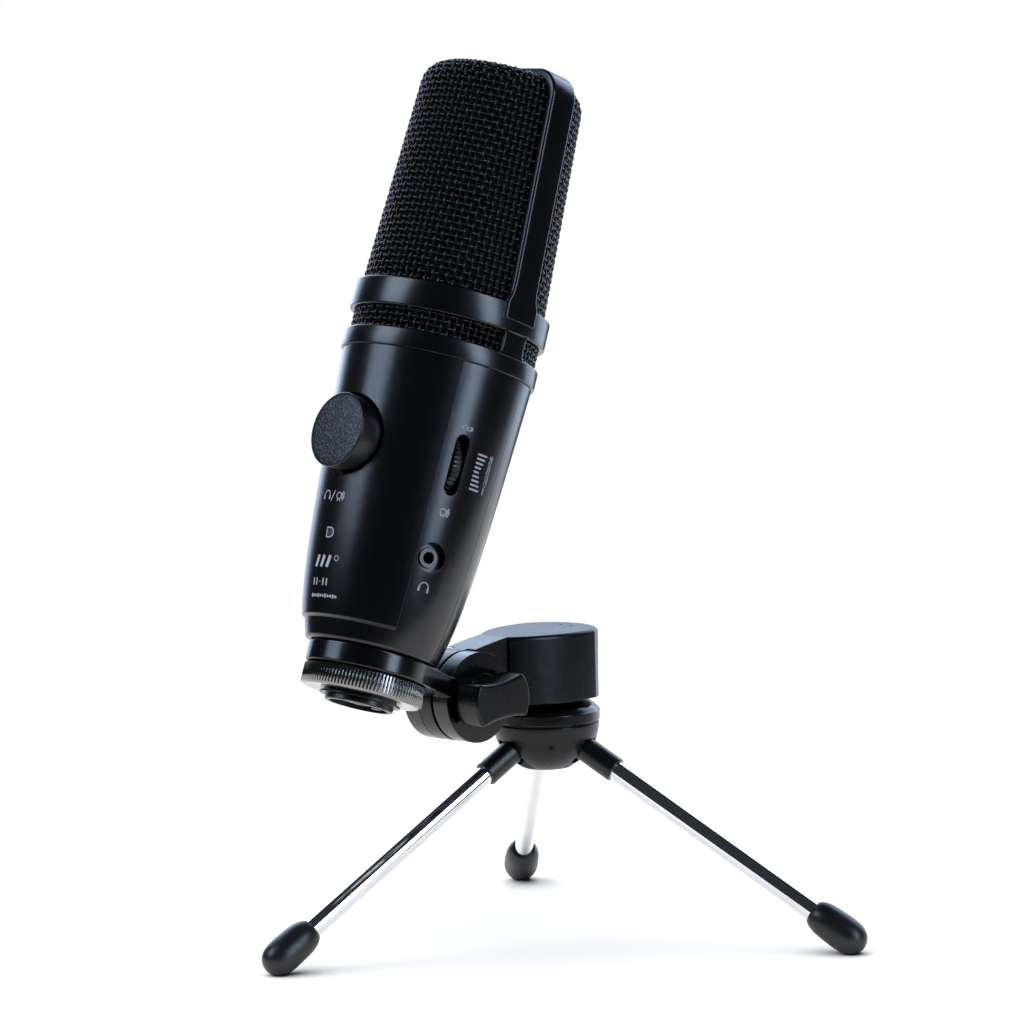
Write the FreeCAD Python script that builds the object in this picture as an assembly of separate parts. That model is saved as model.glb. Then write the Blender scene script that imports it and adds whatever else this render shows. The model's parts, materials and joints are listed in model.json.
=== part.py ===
import FreeCAD, Part
import math
import os

from FreeCAD import Placement, Rotation, Vector

# Desktop microphone on a folding table tripod. Millimetres, +Z up.
# The origin is the point of the floor under the tripod's axis. The microphone's front faces -Y,
# its headphone side faces +X, and its top leans back towards +Y.

# ---------------------------------------------------------------- clearances
running_fit = 0.05       # radial, a shaft or thread that turns in its bore
seat_gap = 0.10          # between faces of two moving pieces that are clamped together
assembly_gap = 0.03      # between fixed pieces that fit into each other
seam_gap = 0.15          # open line between two body shells
swing_gap = 0.35         # around pieces that swing past each other

screw_rim = 0.3          # height of a countersunk head's straight edge
recess_share = (0.6, 0.14, 0.17)    # cross recess: length, width and depth, of the head's diameter

# ---------------------------------------------------------------- tripod
leg_angles = (260.0, 20.0, 140.0)   # degrees from +X, seen from above
leg_slope = 31.9                    # degrees below level when open
leg_pivot_radius = 11.5
leg_reach = 90.2                    # pivot to the foot's mouth, along the leg
leg_tube_diameter = 6.0
leg_tube_wall = 0.7
sleeve_diameter = 7.8
sleeve_reach = 13.8                 # pivot to the sleeve's mouth
sleeve_depth = 8.8                  # of the tube inside the sleeve
sleeve_edge_radius = 0.4
leg_pin_diameter = 2.0
leg_pin_grip = 2.4                  # of each pin end in the hub
foot_length = 19.0
foot_diameter = 10.9
foot_mouth_diameter = 7.4
foot_tip_radius = 5.2
foot_socket_depth = 8.0
foot_flat = 0.3                     # how much of the foot is flattened where it rests
foot_belly_share = 0.45             # of the foot's length, from its mouth to its widest place
foot_shoulder_angle = 69.6          # degrees from the tip where the round end meets the flank

hub_drop = 7.2                      # hub's bottom below the leg pivots
hub_height = 14.0
hub_diameter = 32.8
hub_bottom_diameter = 14.0
hub_groove_height = 0.6
hub_groove_depth = 0.9
hub_bulge = (0.68, 0.36)            # shares of the hub's width and height at the middle of its flank
cap_diameter = 33.4
cap_rim_height = 3.6
cap_dome_height = 3.0
cap_top_diameter = 22.0
cap_edge = 0.4
cap_crest = (0.55, 0.32)            # middle of the dome: share inwards from the rim, share down from the top
washer_thickness = 0.8
grub_diameter = 1.6
grub_length = 5.0
grub_key = 0.7
grub_sink = 1.9                     # below the hub's widest radius
grub_drop = 5.9                     # below the hub's top
stud_diameter = 15.875              # five-eighths inch thread
stud_height = 15.0                  # above the washer
stud_shank_diameter = 9.0
stud_screw_diameter = 4.0
stud_screw_head = 7.0
stud_screw_head_height = 2.4
stud_screw_seat_rise = 3.2          # shoulder under the head, above the hub's bottom
stud_screw_grip = 7.0               # inside the stud
stud_point = 1.2                    # bevel at the stud's top

# ---------------------------------------------------------------- swivel block and hinge
block_height = 21.0
block_corner = (14.9, 7.0)          # where the round back meets the sides
block_nose = (6.5, -22.0)           # front corners
block_side_radius = 35.0
block_edge_radius = 1.2
insert_wall = 2.6
stud_clearance = 1.0                # above the stud's end
insert_groove_depth = 0.5
insert_groove_width = 1.2
insert_groove_heights = (4.0, 8.0)  # above the block's bottom
vent_holes = (2.2, 9.5)             # in the block's top: each side of the middle, behind the stud's axis
vent_diameter = 1.0
vent_depth = 1.5
neck_half_width = 5.9
neck_root = 6.0                     # how far the neck runs into the block
neck_heel = 2.0                     # neck's lower corner behind the block's front corners
neck_crown_shift = 2.0              # middle of the neck's upper curve, from the hinge axis towards the block
neck_crown_dip = 0.6                # and below the tongue's crown
tongue_angles = (120.0, -70.0)      # degrees where the neck's outline leaves the hinge disc
hinge_reach = 38.0                  # tripod axis to hinge axis
hinge_rise = 4.6                    # hinge axis above the block's bottom
ear_radius = 13.8
ear_thickness = 5.9
tongue_thickness = 5.3
tongue_crown = 14.6                 # hinge axis to the neck's upper surface
tongue_shift = 0.3                  # tongue's middle, from the middle plane towards -X
tooth_washer_thickness = 1.0
tooth_washer_radius = 12.9
tooth_count = 24
tooth_depth = 1.3
tooth_washer_gap = 0.02             # between the washer and the ear it turns with
hinge_bolt_diameter = 5.0
hinge_nut_width = 8.0
hinge_nut_height = 4.0
hinge_nut_proud = 0.6               # of the far ear
bolt_point = 0.5                    # bevel at the bolt's end, and its depth below the nut's pocket mouth
bolt_cover = 3.0                    # of wing over the bolt's inner end
wing_length = 22.6
wing_end_width = 13.2
wing_waist_width = 11.0
wing_height = 8.8
wing_collar_diameter = 15.0
wing_collar_height = 1.7
wing_tilt = 5.0                     # degrees, end nearer the block higher
wing_edge_radius = 0.9
wing_corner_radius = 1.4

# ---------------------------------------------------------------- stand ring and nut
tilt = 20.2                         # degrees, microphone axis from upright
arm_reach = 39.5                    # microphone axis to hinge axis
ring_diameter = 37.4
ring_thickness = 6.4
ring_edge_radius = 0.7
nut_diameter = 37.0
nut_height = 6.8
nut_rise = 3.0                      # nut's bottom above the stub's end
nut_ribs = 104
nut_rib_depth = 0.4
nut_edge = 0.6
stub_thread_diameter = 22.0
stub_lip_diameter = 21.0
stub_bore_diameter = 18.0
stub_flange_diameter = 35.0
stub_flange_thickness = 2.0
stub_lip_edge = 0.3
stub_screw_length = 4.1
stub_screw_room = 6.0
flange_groove_depth = 0.3
flange_ring_diameter = 24.6
flange_ring_thickness = 0.6
flange_ring_rise = 1.75
plate_rise = 1.5
plate_thickness = 1.0
usb_width = 12.0
usb_depth = 10.9
usb_length = 16.0
usb_mouth = (8.45, 7.8)
usb_mouth_depth = 9.0
usb_tongue = (5.6, 3.2)
usb_rise = 1.2
usb_bevel = 1.7
usb_tongue_setback = 0.6
lug_overlap = 2.0                   # of each lug beside the socket
bottom_screw_offset = 7.25
bottom_screw_diameter = 2.0
bottom_screw_head = 3.0
bottom_screw_head_height = 0.8
bottom_screw_length = 6.0

# ---------------------------------------------------------------- microphone body
body_length = 88.0
body_bottom_radius = 20.0
body_top_radius = 29.0
body_swell = 4.0                    # part of the widening that happens close to the bottom
body_swell_rate = 6.0
body_wall = 2.0
body_floor = 2.5
body_bottom_edge = 1.4
flank_steps = 8                     # stretches of the side's curve, crowded towards its start
flank_crowding = 1.3
rear_shell_angle = 132.0            # degrees of the circle that the rear shell covers
panel_half_angle = 65.0             # raised front panel, each side of the front
panel_rise_bottom = 0.9
panel_rise_top = 0.15
panel_start = 5.4                   # above the body's bottom
panel_bevel = 1.2
panel_root = 0.6                    # how far the panel runs into the wall
controls_angle = -13.0              # degrees from the body's own +X of the wheel and the jack
body_turn = -4.0                    # degrees, the body about its axis from the line of the stand and the head
knob_height = 60.4                  # above the body's bottom, as the next ones
wheel_height = 57.6
jack_height = 29.2
led_height = 30.5
knob_diameter = 23.0
knob_projection = 4.8
knob_cap_diameter = 21.6
knob_cap_thickness = 0.5
knob_cap_setback = 0.1
knob_pocket_diameter = 25.0
knob_pocket_floor = 2.0
knob_pocket_wall = 2.0
knob_pocket_bite = 0.3              # how far the pocket's floor is behind the line where it meets the sides
knob_edge = 0.35
knob_face_wall = 3.0
knob_wall = 2.0
pot_shaft_diameter = 6.0
pot_bushing_diameter = 7.0
pot_size = (12.0, 7.0, 12.0)
pot_nut_width = 10.0
pot_nut_height = 1.8
pot_bushing_setback = 0.4           # behind the pocket's floor
pot_back_wall = 2.0
shaft_end_gap = 0.2
wheel_diameter = 21.0
wheel_thickness = 3.0
wheel_proud = 0.3
wheel_ribs = 48
wheel_rib_depth = 0.35
wheel_slot = (18.6, 4.6)
gain_pot_size = (10.0, 5.0, 10.0)
gain_shaft_diameter = 3.0
gain_shaft_bore_wall = 1.0
gain_shaft_end_gap = 0.3
jack_bore_diameter = 3.6
jack_bore_depth = 13.0
jack_bushing_diameter = 6.0
jack_bushing_length = 3.0
jack_bushing_rise = 0.8             # above the well's floor
jack_well_diameter = 9.0
jack_well_depth = 3.0
jack_well_wall = 1.3
jack_body_size = (12.0, 7.0, 9.0)
led_diameter = 2.2
led_length = 9.0
led_setback = 0.05
board_width = 32.0
board_thickness = 1.6
board_height = 77.0
board_offset = 8.0                  # main board's front face behind the axis
control_board_width = 24.0
control_board_height = 50.0
control_board_margin = 3.0          # above the potentiometer
header_width = 20.0
header_height = 5.0
header_drop = 22.0                  # below the knob's axis

# ---------------------------------------------------------------- head
rim_height = 5.8
rim_radius = 29.75
window_height = 6.5
collar_height = 8.7
collar_radius = 30.0
frame_floor = 2.0
spigot_length = 6.0
spigot_wall = 1.5
post_width = 9.0
band_width = 10.0
band_rise_side = 2.0                # band proud of the grille
band_rise_top = 2.0
band_inset = 1.2                    # band's inner face below the grille's outer face
head_length = 73.1                  # collar's top to the head's top
grille_base_radius = 28.0
grille_top_radius = 24.4
grille_corner_radius = 7.0
grille_thickness = 1.0
grille_skirt = 7.3                  # of the grille inside the collar
liner_skirt = 6.2
lower_grille_thickness = 0.8
liner_thickness = 0.6
deck_thickness = 2.0
wire_holes = (6.0, 12.0)            # in the deck: each side of the middle, behind the axis
wire_hole_diameter = 3.2
capsule_height = 50.0               # capsule axis above the deck
capsule_diameter = 27.0
capsule_depth = 9.0
capsule_wall = 1.7
capsule_back = 1.2
capsule_vents = (8, 7.0, 2.2)       # count, radius of their circle, diameter
diaphragm_thickness = 0.3
backplate_thickness = 1.6
backplate_gap = 0.2
backplate_holes = (18, 8.0, 1.0)    # count, radius of their circle, diameter
diaphragm_setback = 1.0
cradle_wall = 2.6
cradle_depth = 10.0
cradle_foot_diameter = 28.0
cradle_foot_thickness = 2.5
cradle_post_width = 8.0
cradle_post_bite = 1.5              # of the post into the ring
screw_diameter = 2.5
screw_head = 4.6
head_screw_angles = (60.0, 120.0)
head_screw_length = 4.6
head_screw_room = 6.0
head_screw_drop = 3.0               # below the body's top
head_screw_sink = 0.1               # of the head below the body's surface
stub_screw_angles = (60.0, 120.0, 240.0, 300.0)

# ---------------------------------------------------------------- derived places
slope = math.radians(leg_slope)
foot_tip = leg_reach + foot_length
pivot_height = (foot_tip - foot_tip_radius) * math.sin(slope) + foot_tip_radius - foot_flat
hub_bottom = pivot_height - hub_drop
hub_top = hub_bottom + hub_height
cap_bottom = hub_top
cap_rim_top = cap_bottom + hub_groove_height + cap_rim_height
cap_top = cap_rim_top + cap_dome_height
block_bottom = cap_top + washer_thickness + seat_gap
block_top = block_bottom + block_height
stud_top = cap_top + washer_thickness + stud_height
insert_radius = stud_diameter / 2 + insert_wall
insert_top = stud_top + stud_clearance

hinge_y = -hinge_reach
hinge_z = block_bottom + hinge_rise
tongue_near = tongue_thickness / 2 - tongue_shift
tongue_far = tongue_near - tongue_thickness
ear_near = tongue_near + tooth_washer_thickness + 2 * seat_gap
ear_far = tongue_far - swing_gap
hinge_near = ear_near + ear_thickness
hinge_far = ear_far - ear_thickness
bolt_end = hinge_near + wing_collar_height + wing_height - bolt_cover

# Stations along the microphone's own axis, from the stub's open end.
nut_bottom = nut_rise
nut_top = nut_bottom + nut_height
ring_bottom = nut_top + seat_gap
ring_top = ring_bottom + ring_thickness
body_bottom = ring_top + seat_gap
body_top = body_bottom + body_length
rim_bottom = body_top + assembly_gap
rim_top = rim_bottom + rim_height
collar_bottom = rim_top + window_height
collar_top = collar_bottom + collar_height
head_top = collar_top + head_length
grille_top = head_top - band_rise_top
stub_floor = body_bottom + body_floor
stub_top = stub_floor + stub_flange_thickness
deck_bottom = rim_bottom + frame_floor
deck_top = deck_bottom + deck_thickness
capsule_z = deck_top + capsule_height
ring_middle = (ring_bottom + ring_top) / 2

# The microphone's frame: its axis leans back about the hinge, with the ring's middle at hinge level.
mic_rotation = Rotation(Vector(1, 0, 0), -tilt)
mic_base = Vector(0, hinge_y, hinge_z) - mic_rotation.multVec(Vector(0, arm_reach, ring_middle))
mic_frame = Placement(mic_base, mic_rotation)
body_frame = mic_frame.multiply(Placement(Vector(), Rotation(Vector(0, 0, 1), body_turn)))


# ---------------------------------------------------------------- helpers
def turned(points):
    """Solid turned about Z from a closed outline of (radius, height) points."""
    corners = [Vector(radius, 0, height) for radius, height in points]
    face = Part.Face(Part.makePolygon(corners + corners[:1]))
    return face.revolve(Vector(0, 0, 0), Vector(0, 0, 1), 360)


def tube(outer, inner, low, high):
    """Round wall about Z between two radii and two heights."""
    return disc(outer, low, high).cut(disc(inner, low - 1, high + 1))


def disc(radius, low, high):
    """Round solid about Z."""
    return Part.makeCylinder(radius, high - low, Vector(0, 0, low))


def box(x_range, y_range, z_range):
    """Box from three (low, high) ranges."""
    corner = Vector(x_range[0], y_range[0], z_range[0])
    return Part.makeBox(x_range[1] - x_range[0], y_range[1] - y_range[0], z_range[1] - z_range[0], corner)


def rod_x(radius, start, end, y=0.0, z=0.0):
    """Round solid along X."""
    return Part.makeCylinder(radius, end - start, Vector(start, y, z), Vector(1, 0, 0))


def rod_y(radius, start, end, x=0.0, z=0.0):
    """Round solid along Y."""
    return Part.makeCylinder(radius, end - start, Vector(x, start, z), Vector(0, 1, 0))


def prism(edges, direction):
    """Solid drawn from a closed chain of edges along a direction."""
    return Part.Face(Part.Wire(edges)).extrude(direction)


def hexagon(width, height):
    """Hexagonal prism on Z, with the given width across its flats."""
    radius = width / math.sqrt(3)
    corners = [Vector(radius * math.cos(a), radius * math.sin(a), 0) for a in ring_of_angles(6)]
    return Part.Face(Part.makePolygon(corners + corners[:1])).extrude(Vector(0, 0, height))


def ring_of_angles(count):
    """Evenly spaced angles of a full turn, in radians."""
    return [2 * math.pi * step / count for step in range(count)]


def ribbed_disc(outer_radius, rib_depth, ribs, height):
    """Prism on Z whose rim is a row of small ribs."""
    corners = []
    for step, angle in enumerate(ring_of_angles(2 * ribs)):
        radius = outer_radius - rib_depth * (step % 2)
        corners.append(Vector(radius * math.cos(angle), radius * math.sin(angle), 0))
    return Part.Face(Part.makePolygon(corners + corners[:1])).extrude(Vector(0, 0, height))


def placed(shape, placement):
    """Copy of a shape at another placement."""
    moved = shape.copy()
    moved.Placement = placement.multiply(moved.Placement)
    return moved


def turned_about_z(shape, degrees):
    """Copy of a shape turned about Z."""
    return placed(shape, Placement(Vector(0, 0, 0), Rotation(Vector(0, 0, 1), degrees)))


def along_radius(angle, radius, height):
    """Placement whose +Z points outwards at an angle about the axis, at a radius and a height."""
    a = math.radians(angle)
    outwards = Vector(math.cos(a), math.sin(a), 0)
    turn = Rotation(Vector(0, 0, 1), angle).multiply(Rotation(Vector(0, 1, 0), 90))
    return Placement(outwards * radius + Vector(0, 0, height), turn)


def countersunk_screw(diameter, head, length):
    """Screw along -Z with the flat of its head at the origin, and a plain cross recess."""
    cone = (head - diameter) / 2
    shape = turned([(0, 0), (head / 2, 0), (head / 2, -screw_rim), (diameter / 2, -screw_rim - cone),
                    (diameter / 2, -length), (0, -length)])
    return shape.cut(cross_recess(head))


def cross_recess(head):
    """Two crossed slots in a screw's head."""
    length, width, depth = (head * share for share in recess_share)
    one = box((-length / 2, length / 2), (-width / 2, width / 2), (-depth, 1))
    other = box((-width / 2, width / 2), (-length / 2, length / 2), (-depth, 1))
    return one.fuse(other)


def screw_hole(diameter, head, length):
    """Room for a countersunk screw, with the assembly gap all round."""
    cone = (head - diameter) / 2
    g = assembly_gap
    wide = head / 2 + g
    narrow = diameter / 2 + g
    return turned([(0, 1), (wide, 1), (wide, -screw_rim - g), (narrow, -screw_rim - cone - g),
                   (narrow, -length - g), (0, -length - g)])


# ---------------------------------------------------------------- tripod
def leg_frame(angle):
    """Frame of one open leg: origin at its pivot, +X outwards along the leg, +Y along the pin."""
    a = math.radians(angle)
    pivot = Vector(leg_pivot_radius * math.cos(a), leg_pivot_radius * math.sin(a), pivot_height)
    return Placement(pivot, Rotation(Vector(0, 0, 1), angle).multiply(Rotation(Vector(0, 1, 0), leg_slope)))


def leg_sleeve(angle):
    """Plastic knuckle that turns on the leg pin and holds the tube."""
    radius = sleeve_diameter / 2
    shape = rod_x(radius, 0, sleeve_reach).fuse(Part.makeSphere(radius))
    socket = rod_x(leg_tube_diameter / 2 + assembly_gap, sleeve_reach - sleeve_depth, sleeve_reach + 1)
    pin_hole = rod_y(leg_pin_diameter / 2 + running_fit, -sleeve_diameter, sleeve_diameter)
    mouth_edges = [e for e in shape.Edges if e.BoundBox.XMin > sleeve_reach - 0.01]
    shape = shape.makeFillet(sleeve_edge_radius, mouth_edges)
    return placed(shape.cut(socket).cut(pin_hole).removeSplitter(), leg_frame(angle))


def leg_tube(angle):
    """Bright metal tube between the sleeve and the foot."""
    start = sleeve_reach - sleeve_depth + assembly_gap
    end = leg_reach + foot_socket_depth - assembly_gap
    radius = leg_tube_diameter / 2
    shape = rod_x(radius, start, end).cut(rod_x(radius - leg_tube_wall, start - 1, end + 1))
    return placed(shape, leg_frame(angle))


def foot(angle):
    """Rubber foot: an egg pushed over the tube's end, flattened where it rests."""
    tip_centre = foot_tip - foot_tip_radius
    turn = math.radians(foot_shoulder_angle)
    mouth = Vector(leg_reach, 0, foot_mouth_diameter / 2)
    belly = Vector(leg_reach + foot_belly_share * foot_length, 0, foot_diameter / 2)
    shoulder = Vector(tip_centre + foot_tip_radius * math.cos(turn), 0, foot_tip_radius * math.sin(turn))
    tip = Vector(foot_tip, 0, 0)
    out_of_mouth = Vector(1, 0, 0.75)
    along_shoulder = Vector(math.sin(turn), 0, -math.cos(turn))
    flank = Part.BSplineCurve()
    flank.interpolate([mouth, belly, shoulder], InitialTangent=out_of_mouth, FinalTangent=along_shoulder)
    half = turn / 2
    cap_middle = Vector(tip_centre + foot_tip_radius * math.cos(half), 0, foot_tip_radius * math.sin(half))
    edges = [Part.makeLine(Vector(leg_reach, 0, 0), mouth), flank.toShape(),
             Part.Arc(shoulder, cap_middle, tip).toShape(), Part.makeLine(tip, Vector(leg_reach, 0, 0))]
    shape = Part.Face(Part.Wire(edges)).revolve(Vector(0, 0, 0), Vector(1, 0, 0), 360)
    socket = rod_x(leg_tube_diameter / 2 + assembly_gap, leg_reach - 1, leg_reach + foot_socket_depth)
    shape = shape.cut(socket)
    shape = placed(shape, leg_frame(angle))
    below_floor = box((-200, 200), (-200, 200), (-20, 0))
    return shape.cut(below_floor)


def leg_slot(angle):
    """Room in the hub for one leg from open to folded, closed above so that it stops the open leg."""
    half = sleeve_diameter / 2 + swing_gap
    stop = sleeve_diameter / 2 + seat_gap
    open_side = box((0, 60), (-half, half), (-60, stop))
    knuckle = rod_y(half, -half, half)
    folded = box((leg_pivot_radius - half, 60), (-half, half), (-60, pivot_height))
    level = Rotation(Vector(0, 0, 1), angle)
    return placed(open_side.fuse(knuckle), leg_frame(angle)).fuse(placed(folded, Placement(Vector(), level)))


def leg_pins():
    """Three pins, each held in the hub at both ends."""
    half = sleeve_diameter / 2 + swing_gap + leg_pin_grip
    pin = rod_y(leg_pin_diameter / 2, -half, half)
    return Part.makeCompound([placed(pin, leg_frame(angle)) for angle in leg_angles])


def grub_frames():
    """Frames of the three grub screws, midway between the legs, with +Z pointing outwards."""
    height = hub_top - grub_drop
    return [along_radius(angle + 60.0, hub_diameter / 2 - grub_sink, height) for angle in leg_angles]


def hub_body():
    """Rounded cup that carries the legs."""
    bottom = hub_bottom_diameter / 2
    top = hub_diameter / 2
    middle = Vector(bottom + hub_bulge[0] * (top - bottom), 0, hub_bottom + hub_bulge[1] * hub_height)
    edges = [Part.makeLine(Vector(0, 0, hub_bottom), Vector(bottom, 0, hub_bottom)),
             Part.Arc(Vector(bottom, 0, hub_bottom), middle, Vector(top, 0, hub_top)).toShape(),
             Part.makeLine(Vector(top, 0, hub_top), Vector(0, 0, hub_top)),
             Part.makeLine(Vector(0, 0, hub_top), Vector(0, 0, hub_bottom))]
    shape = Part.Face(Part.Wire(edges)).revolve(Vector(0, 0, 0), Vector(0, 0, 1), 360)
    shape = shape.cut(disc(stud_screw_diameter / 2 + assembly_gap, hub_bottom - 1, hub_top + 1))
    shape = shape.cut(disc(stud_screw_head / 2 + assembly_gap, hub_bottom - 1, stud_screw_seat()))
    for angle in leg_angles:
        shape = shape.cut(leg_slot(angle))
    shape = shape.cut(leg_pins())
    for frame in grub_frames():
        shape = shape.cut(placed(disc(grub_diameter / 2 + assembly_gap, -grub_length, 5), frame))
    return shape


def stud_screw_seat():
    """Height of the shoulder under the hub screw's head."""
    return hub_bottom + stud_screw_seat_rise


def hub_cap():
    """Cover above the groove: a short rim and a shallow glossy dome."""
    outer = cap_diameter / 2
    groove = hub_diameter / 2 - hub_groove_depth
    rim_low = cap_bottom + hub_groove_height
    top = cap_top_diameter / 2
    inwards, down = cap_crest
    crest = Vector(inwards * outer + (1 - inwards) * top, 0, cap_top - down * cap_dome_height)
    corners = [Vector(0, 0, cap_bottom), Vector(groove, 0, cap_bottom), Vector(groove, 0, rim_low),
               Vector(outer - cap_edge, 0, rim_low), Vector(outer, 0, rim_low + cap_edge),
               Vector(outer, 0, cap_rim_top - cap_edge), Vector(outer - cap_edge, 0, cap_rim_top)]
    edges = [Part.makeLine(a, b) for a, b in zip(corners, corners[1:])]
    edges.append(Part.Arc(corners[-1], crest, Vector(top, 0, cap_top)).toShape())
    edges.append(Part.makeLine(Vector(top, 0, cap_top), Vector(0, 0, cap_top)))
    edges.append(Part.makeLine(Vector(0, 0, cap_top), Vector(0, 0, cap_bottom)))
    shape = Part.Face(Part.Wire(edges)).revolve(Vector(0, 0, 0), Vector(0, 0, 1), 360)
    return shape.cut(disc(stud_shank_diameter / 2 + assembly_gap, cap_bottom - 1, cap_top + 1))


def stand_stud():
    """Threaded stud that the swivel block screws onto, with a shank through the cap."""
    thread = stud_diameter / 2
    shank = stud_shank_diameter / 2
    shape = turned([(0, cap_bottom), (shank, cap_bottom), (shank, cap_top), (thread, cap_top),
                    (thread, stud_top - stud_point), (thread - stud_point, stud_top), (0, stud_top)])
    return shape.cut(disc(stud_screw_diameter / 2, cap_bottom - 1, cap_bottom + stud_screw_grip + 1))


def stud_screw():
    """Screw from the hub's bottom up into the stud."""
    seat = stud_screw_seat()
    head_low = seat - stud_screw_head_height
    shape = disc(stud_screw_diameter / 2, seat, cap_bottom + stud_screw_grip)
    shape = shape.fuse(disc(stud_screw_head / 2, head_low, seat))
    facing_down = Placement(Vector(0, 0, head_low), Rotation(Vector(1, 0, 0), 180))
    recess = placed(cross_recess(stud_screw_head), facing_down)
    return shape.cut(recess).removeSplitter()


def grub_screws():
    """Three grub screws that lock the hub's cover."""
    screw = disc(grub_diameter / 2, -grub_length + assembly_gap, 0).cut(hexagon(grub_key, -2 * grub_key))
    return Part.makeCompound([placed(screw, frame) for frame in grub_frames()])


def thrust_washer():
    """Nylon washer between the cap and the turning block, around the stud."""
    inner = stud_diameter / 2 + assembly_gap
    return tube(cap_top_diameter / 2 - 1, inner, cap_top, cap_top + washer_thickness)


# ---------------------------------------------------------------- swivel block and hinge
def block_plan():
    """Edges of the block's outline seen from above: a round back and two long convex sides."""
    corner_x, corner_y = block_corner
    nose_x, nose_y = block_nose
    right = Vector(corner_x, corner_y, block_bottom)
    left = Vector(-corner_x, corner_y, block_bottom)
    nose_right = Vector(nose_x, nose_y, block_bottom)
    nose_left = Vector(-nose_x, nose_y, block_bottom)
    chord = nose_right.sub(right)
    bulge = block_side_radius - math.sqrt(block_side_radius ** 2 - (chord.Length / 2) ** 2)
    outwards = Vector(-chord.y, chord.x, 0).normalize()
    middle = (right + nose_right) * 0.5 + outwards * bulge
    mirrored = Vector(-middle.x, middle.y, middle.z)
    back = Vector(0, math.hypot(corner_x, corner_y), block_bottom)
    return [Part.Arc(right, back, left).toShape(), Part.Arc(left, mirrored, nose_left).toShape(),
            Part.makeLine(nose_left, nose_right), Part.Arc(nose_right, middle, right).toShape()]


def tongue_prism(start, end, disc_too):
    """Neck seen from the side, drawn between two X places: it falls in one curve from the block's
    top to the hinge disc, and runs up again from the disc to the block's bottom."""
    crown_angle, heel_angle = (math.radians(angle) for angle in tongue_angles)
    root = block_nose[1] + neck_root
    high = Vector(start, block_nose[1], block_top)
    crown = Vector(start, hinge_y + neck_crown_shift, hinge_z + tongue_crown - neck_crown_dip)
    hinge = Vector(start, hinge_y, hinge_z)
    front = hinge + Vector(0, math.cos(crown_angle), math.sin(crown_angle)) * ear_radius
    heel = hinge + Vector(0, math.cos(heel_angle), math.sin(heel_angle)) * ear_radius
    low = Vector(start, block_nose[1] + neck_heel, block_bottom)
    corners = [front, hinge, heel, low, Vector(start, root, block_bottom),
               Vector(start, root, block_top), high]
    edges = [Part.makeLine(a, b) for a, b in zip(corners, corners[1:])]
    edges.append(Part.Arc(high, crown, front).toShape())
    shape = prism(edges, Vector(end - start, 0, 0))
    if disc_too:
        shape = shape.fuse(rod_x(ear_radius, start, end, hinge_y, hinge_z))
    return shape


def swivel_block():
    """Block that turns on the tripod's stud and carries the hinge tongue."""
    shape = prism(block_plan(), Vector(0, 0, block_height))
    top_edges = [e for e in shape.Edges if e.BoundBox.ZMin > block_top - 0.01]
    rims = [e for e in top_edges if e.BoundBox.YMax > block_nose[1] + 1]
    shape = shape.makeFillet(block_edge_radius, rims)
    ear_room = rod_x(ear_radius + swing_gap, -30, 30, hinge_y, hinge_z)
    neck = tongue_prism(-neck_half_width, neck_half_width, False).cut(ear_room)
    shape = shape.fuse(neck).fuse(tongue_prism(tongue_far, tongue_near, True))
    shape = shape.cut(rod_x(hinge_bolt_diameter / 2 + running_fit, -30, 30, hinge_y, hinge_z))
    shape = shape.cut(disc(insert_radius + assembly_gap, block_bottom - 1, insert_top))
    side, behind = vent_holes
    for x in (-side, side):
        vent = Part.makeCylinder(vent_diameter / 2, vent_depth + 1, Vector(x, behind, block_top - vent_depth))
        shape = shape.cut(vent)
    return shape.removeSplitter()


def block_insert():
    """Brass thread insert in the block."""
    bore = stud_diameter / 2 + running_fit
    shape = tube(insert_radius, bore, block_bottom + seat_gap, insert_top - assembly_gap)
    for height in insert_groove_heights:
        low = block_bottom + height
        groove = tube(insert_radius + 1, insert_radius - insert_groove_depth, low, low + insert_groove_width)
        shape = shape.cut(groove)
    return shape


def in_hinge_frame(shape):
    """Moves a shape drawn along Z onto the hinge axis: its +Z becomes the part's +X."""
    return placed(shape, Placement(Vector(0, hinge_y, hinge_z), Rotation(Vector(0, 1, 0), 90)))


def tooth_washer():
    """Toothed washer between the near ear and the tongue."""
    blank = ribbed_disc(tooth_washer_radius, tooth_depth, tooth_count, tooth_washer_thickness)
    blank = blank.cut(disc(hinge_bolt_diameter / 2 + running_fit, -1, 5))
    blank.translate(Vector(0, 0, ear_near - tooth_washer_thickness - tooth_washer_gap))
    return in_hinge_frame(blank)


def hinge_bolt():
    """Bolt moulded into the wing and screwed through both ears."""
    shape = disc(hinge_bolt_diameter / 2, hinge_far + bolt_point, bolt_end)
    tip = [e for e in shape.Edges if e.BoundBox.ZMax < hinge_far + bolt_point + 0.01]
    return in_hinge_frame(shape.makeChamfer(bolt_point, tip))


def nut_pocket_depth():
    """Depth of the nut's pocket in the far ear."""
    return hinge_nut_height - hinge_nut_proud


def hinge_nut():
    """Hexagon nut held in the far ear."""
    shape = hexagon(hinge_nut_width, hinge_nut_height)
    shape = shape.cut(disc(hinge_bolt_diameter / 2 + running_fit, -1, hinge_nut_height + 1))
    shape.translate(Vector(0, 0, hinge_far + nut_pocket_depth() - hinge_nut_height))
    return in_hinge_frame(shape)


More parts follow.
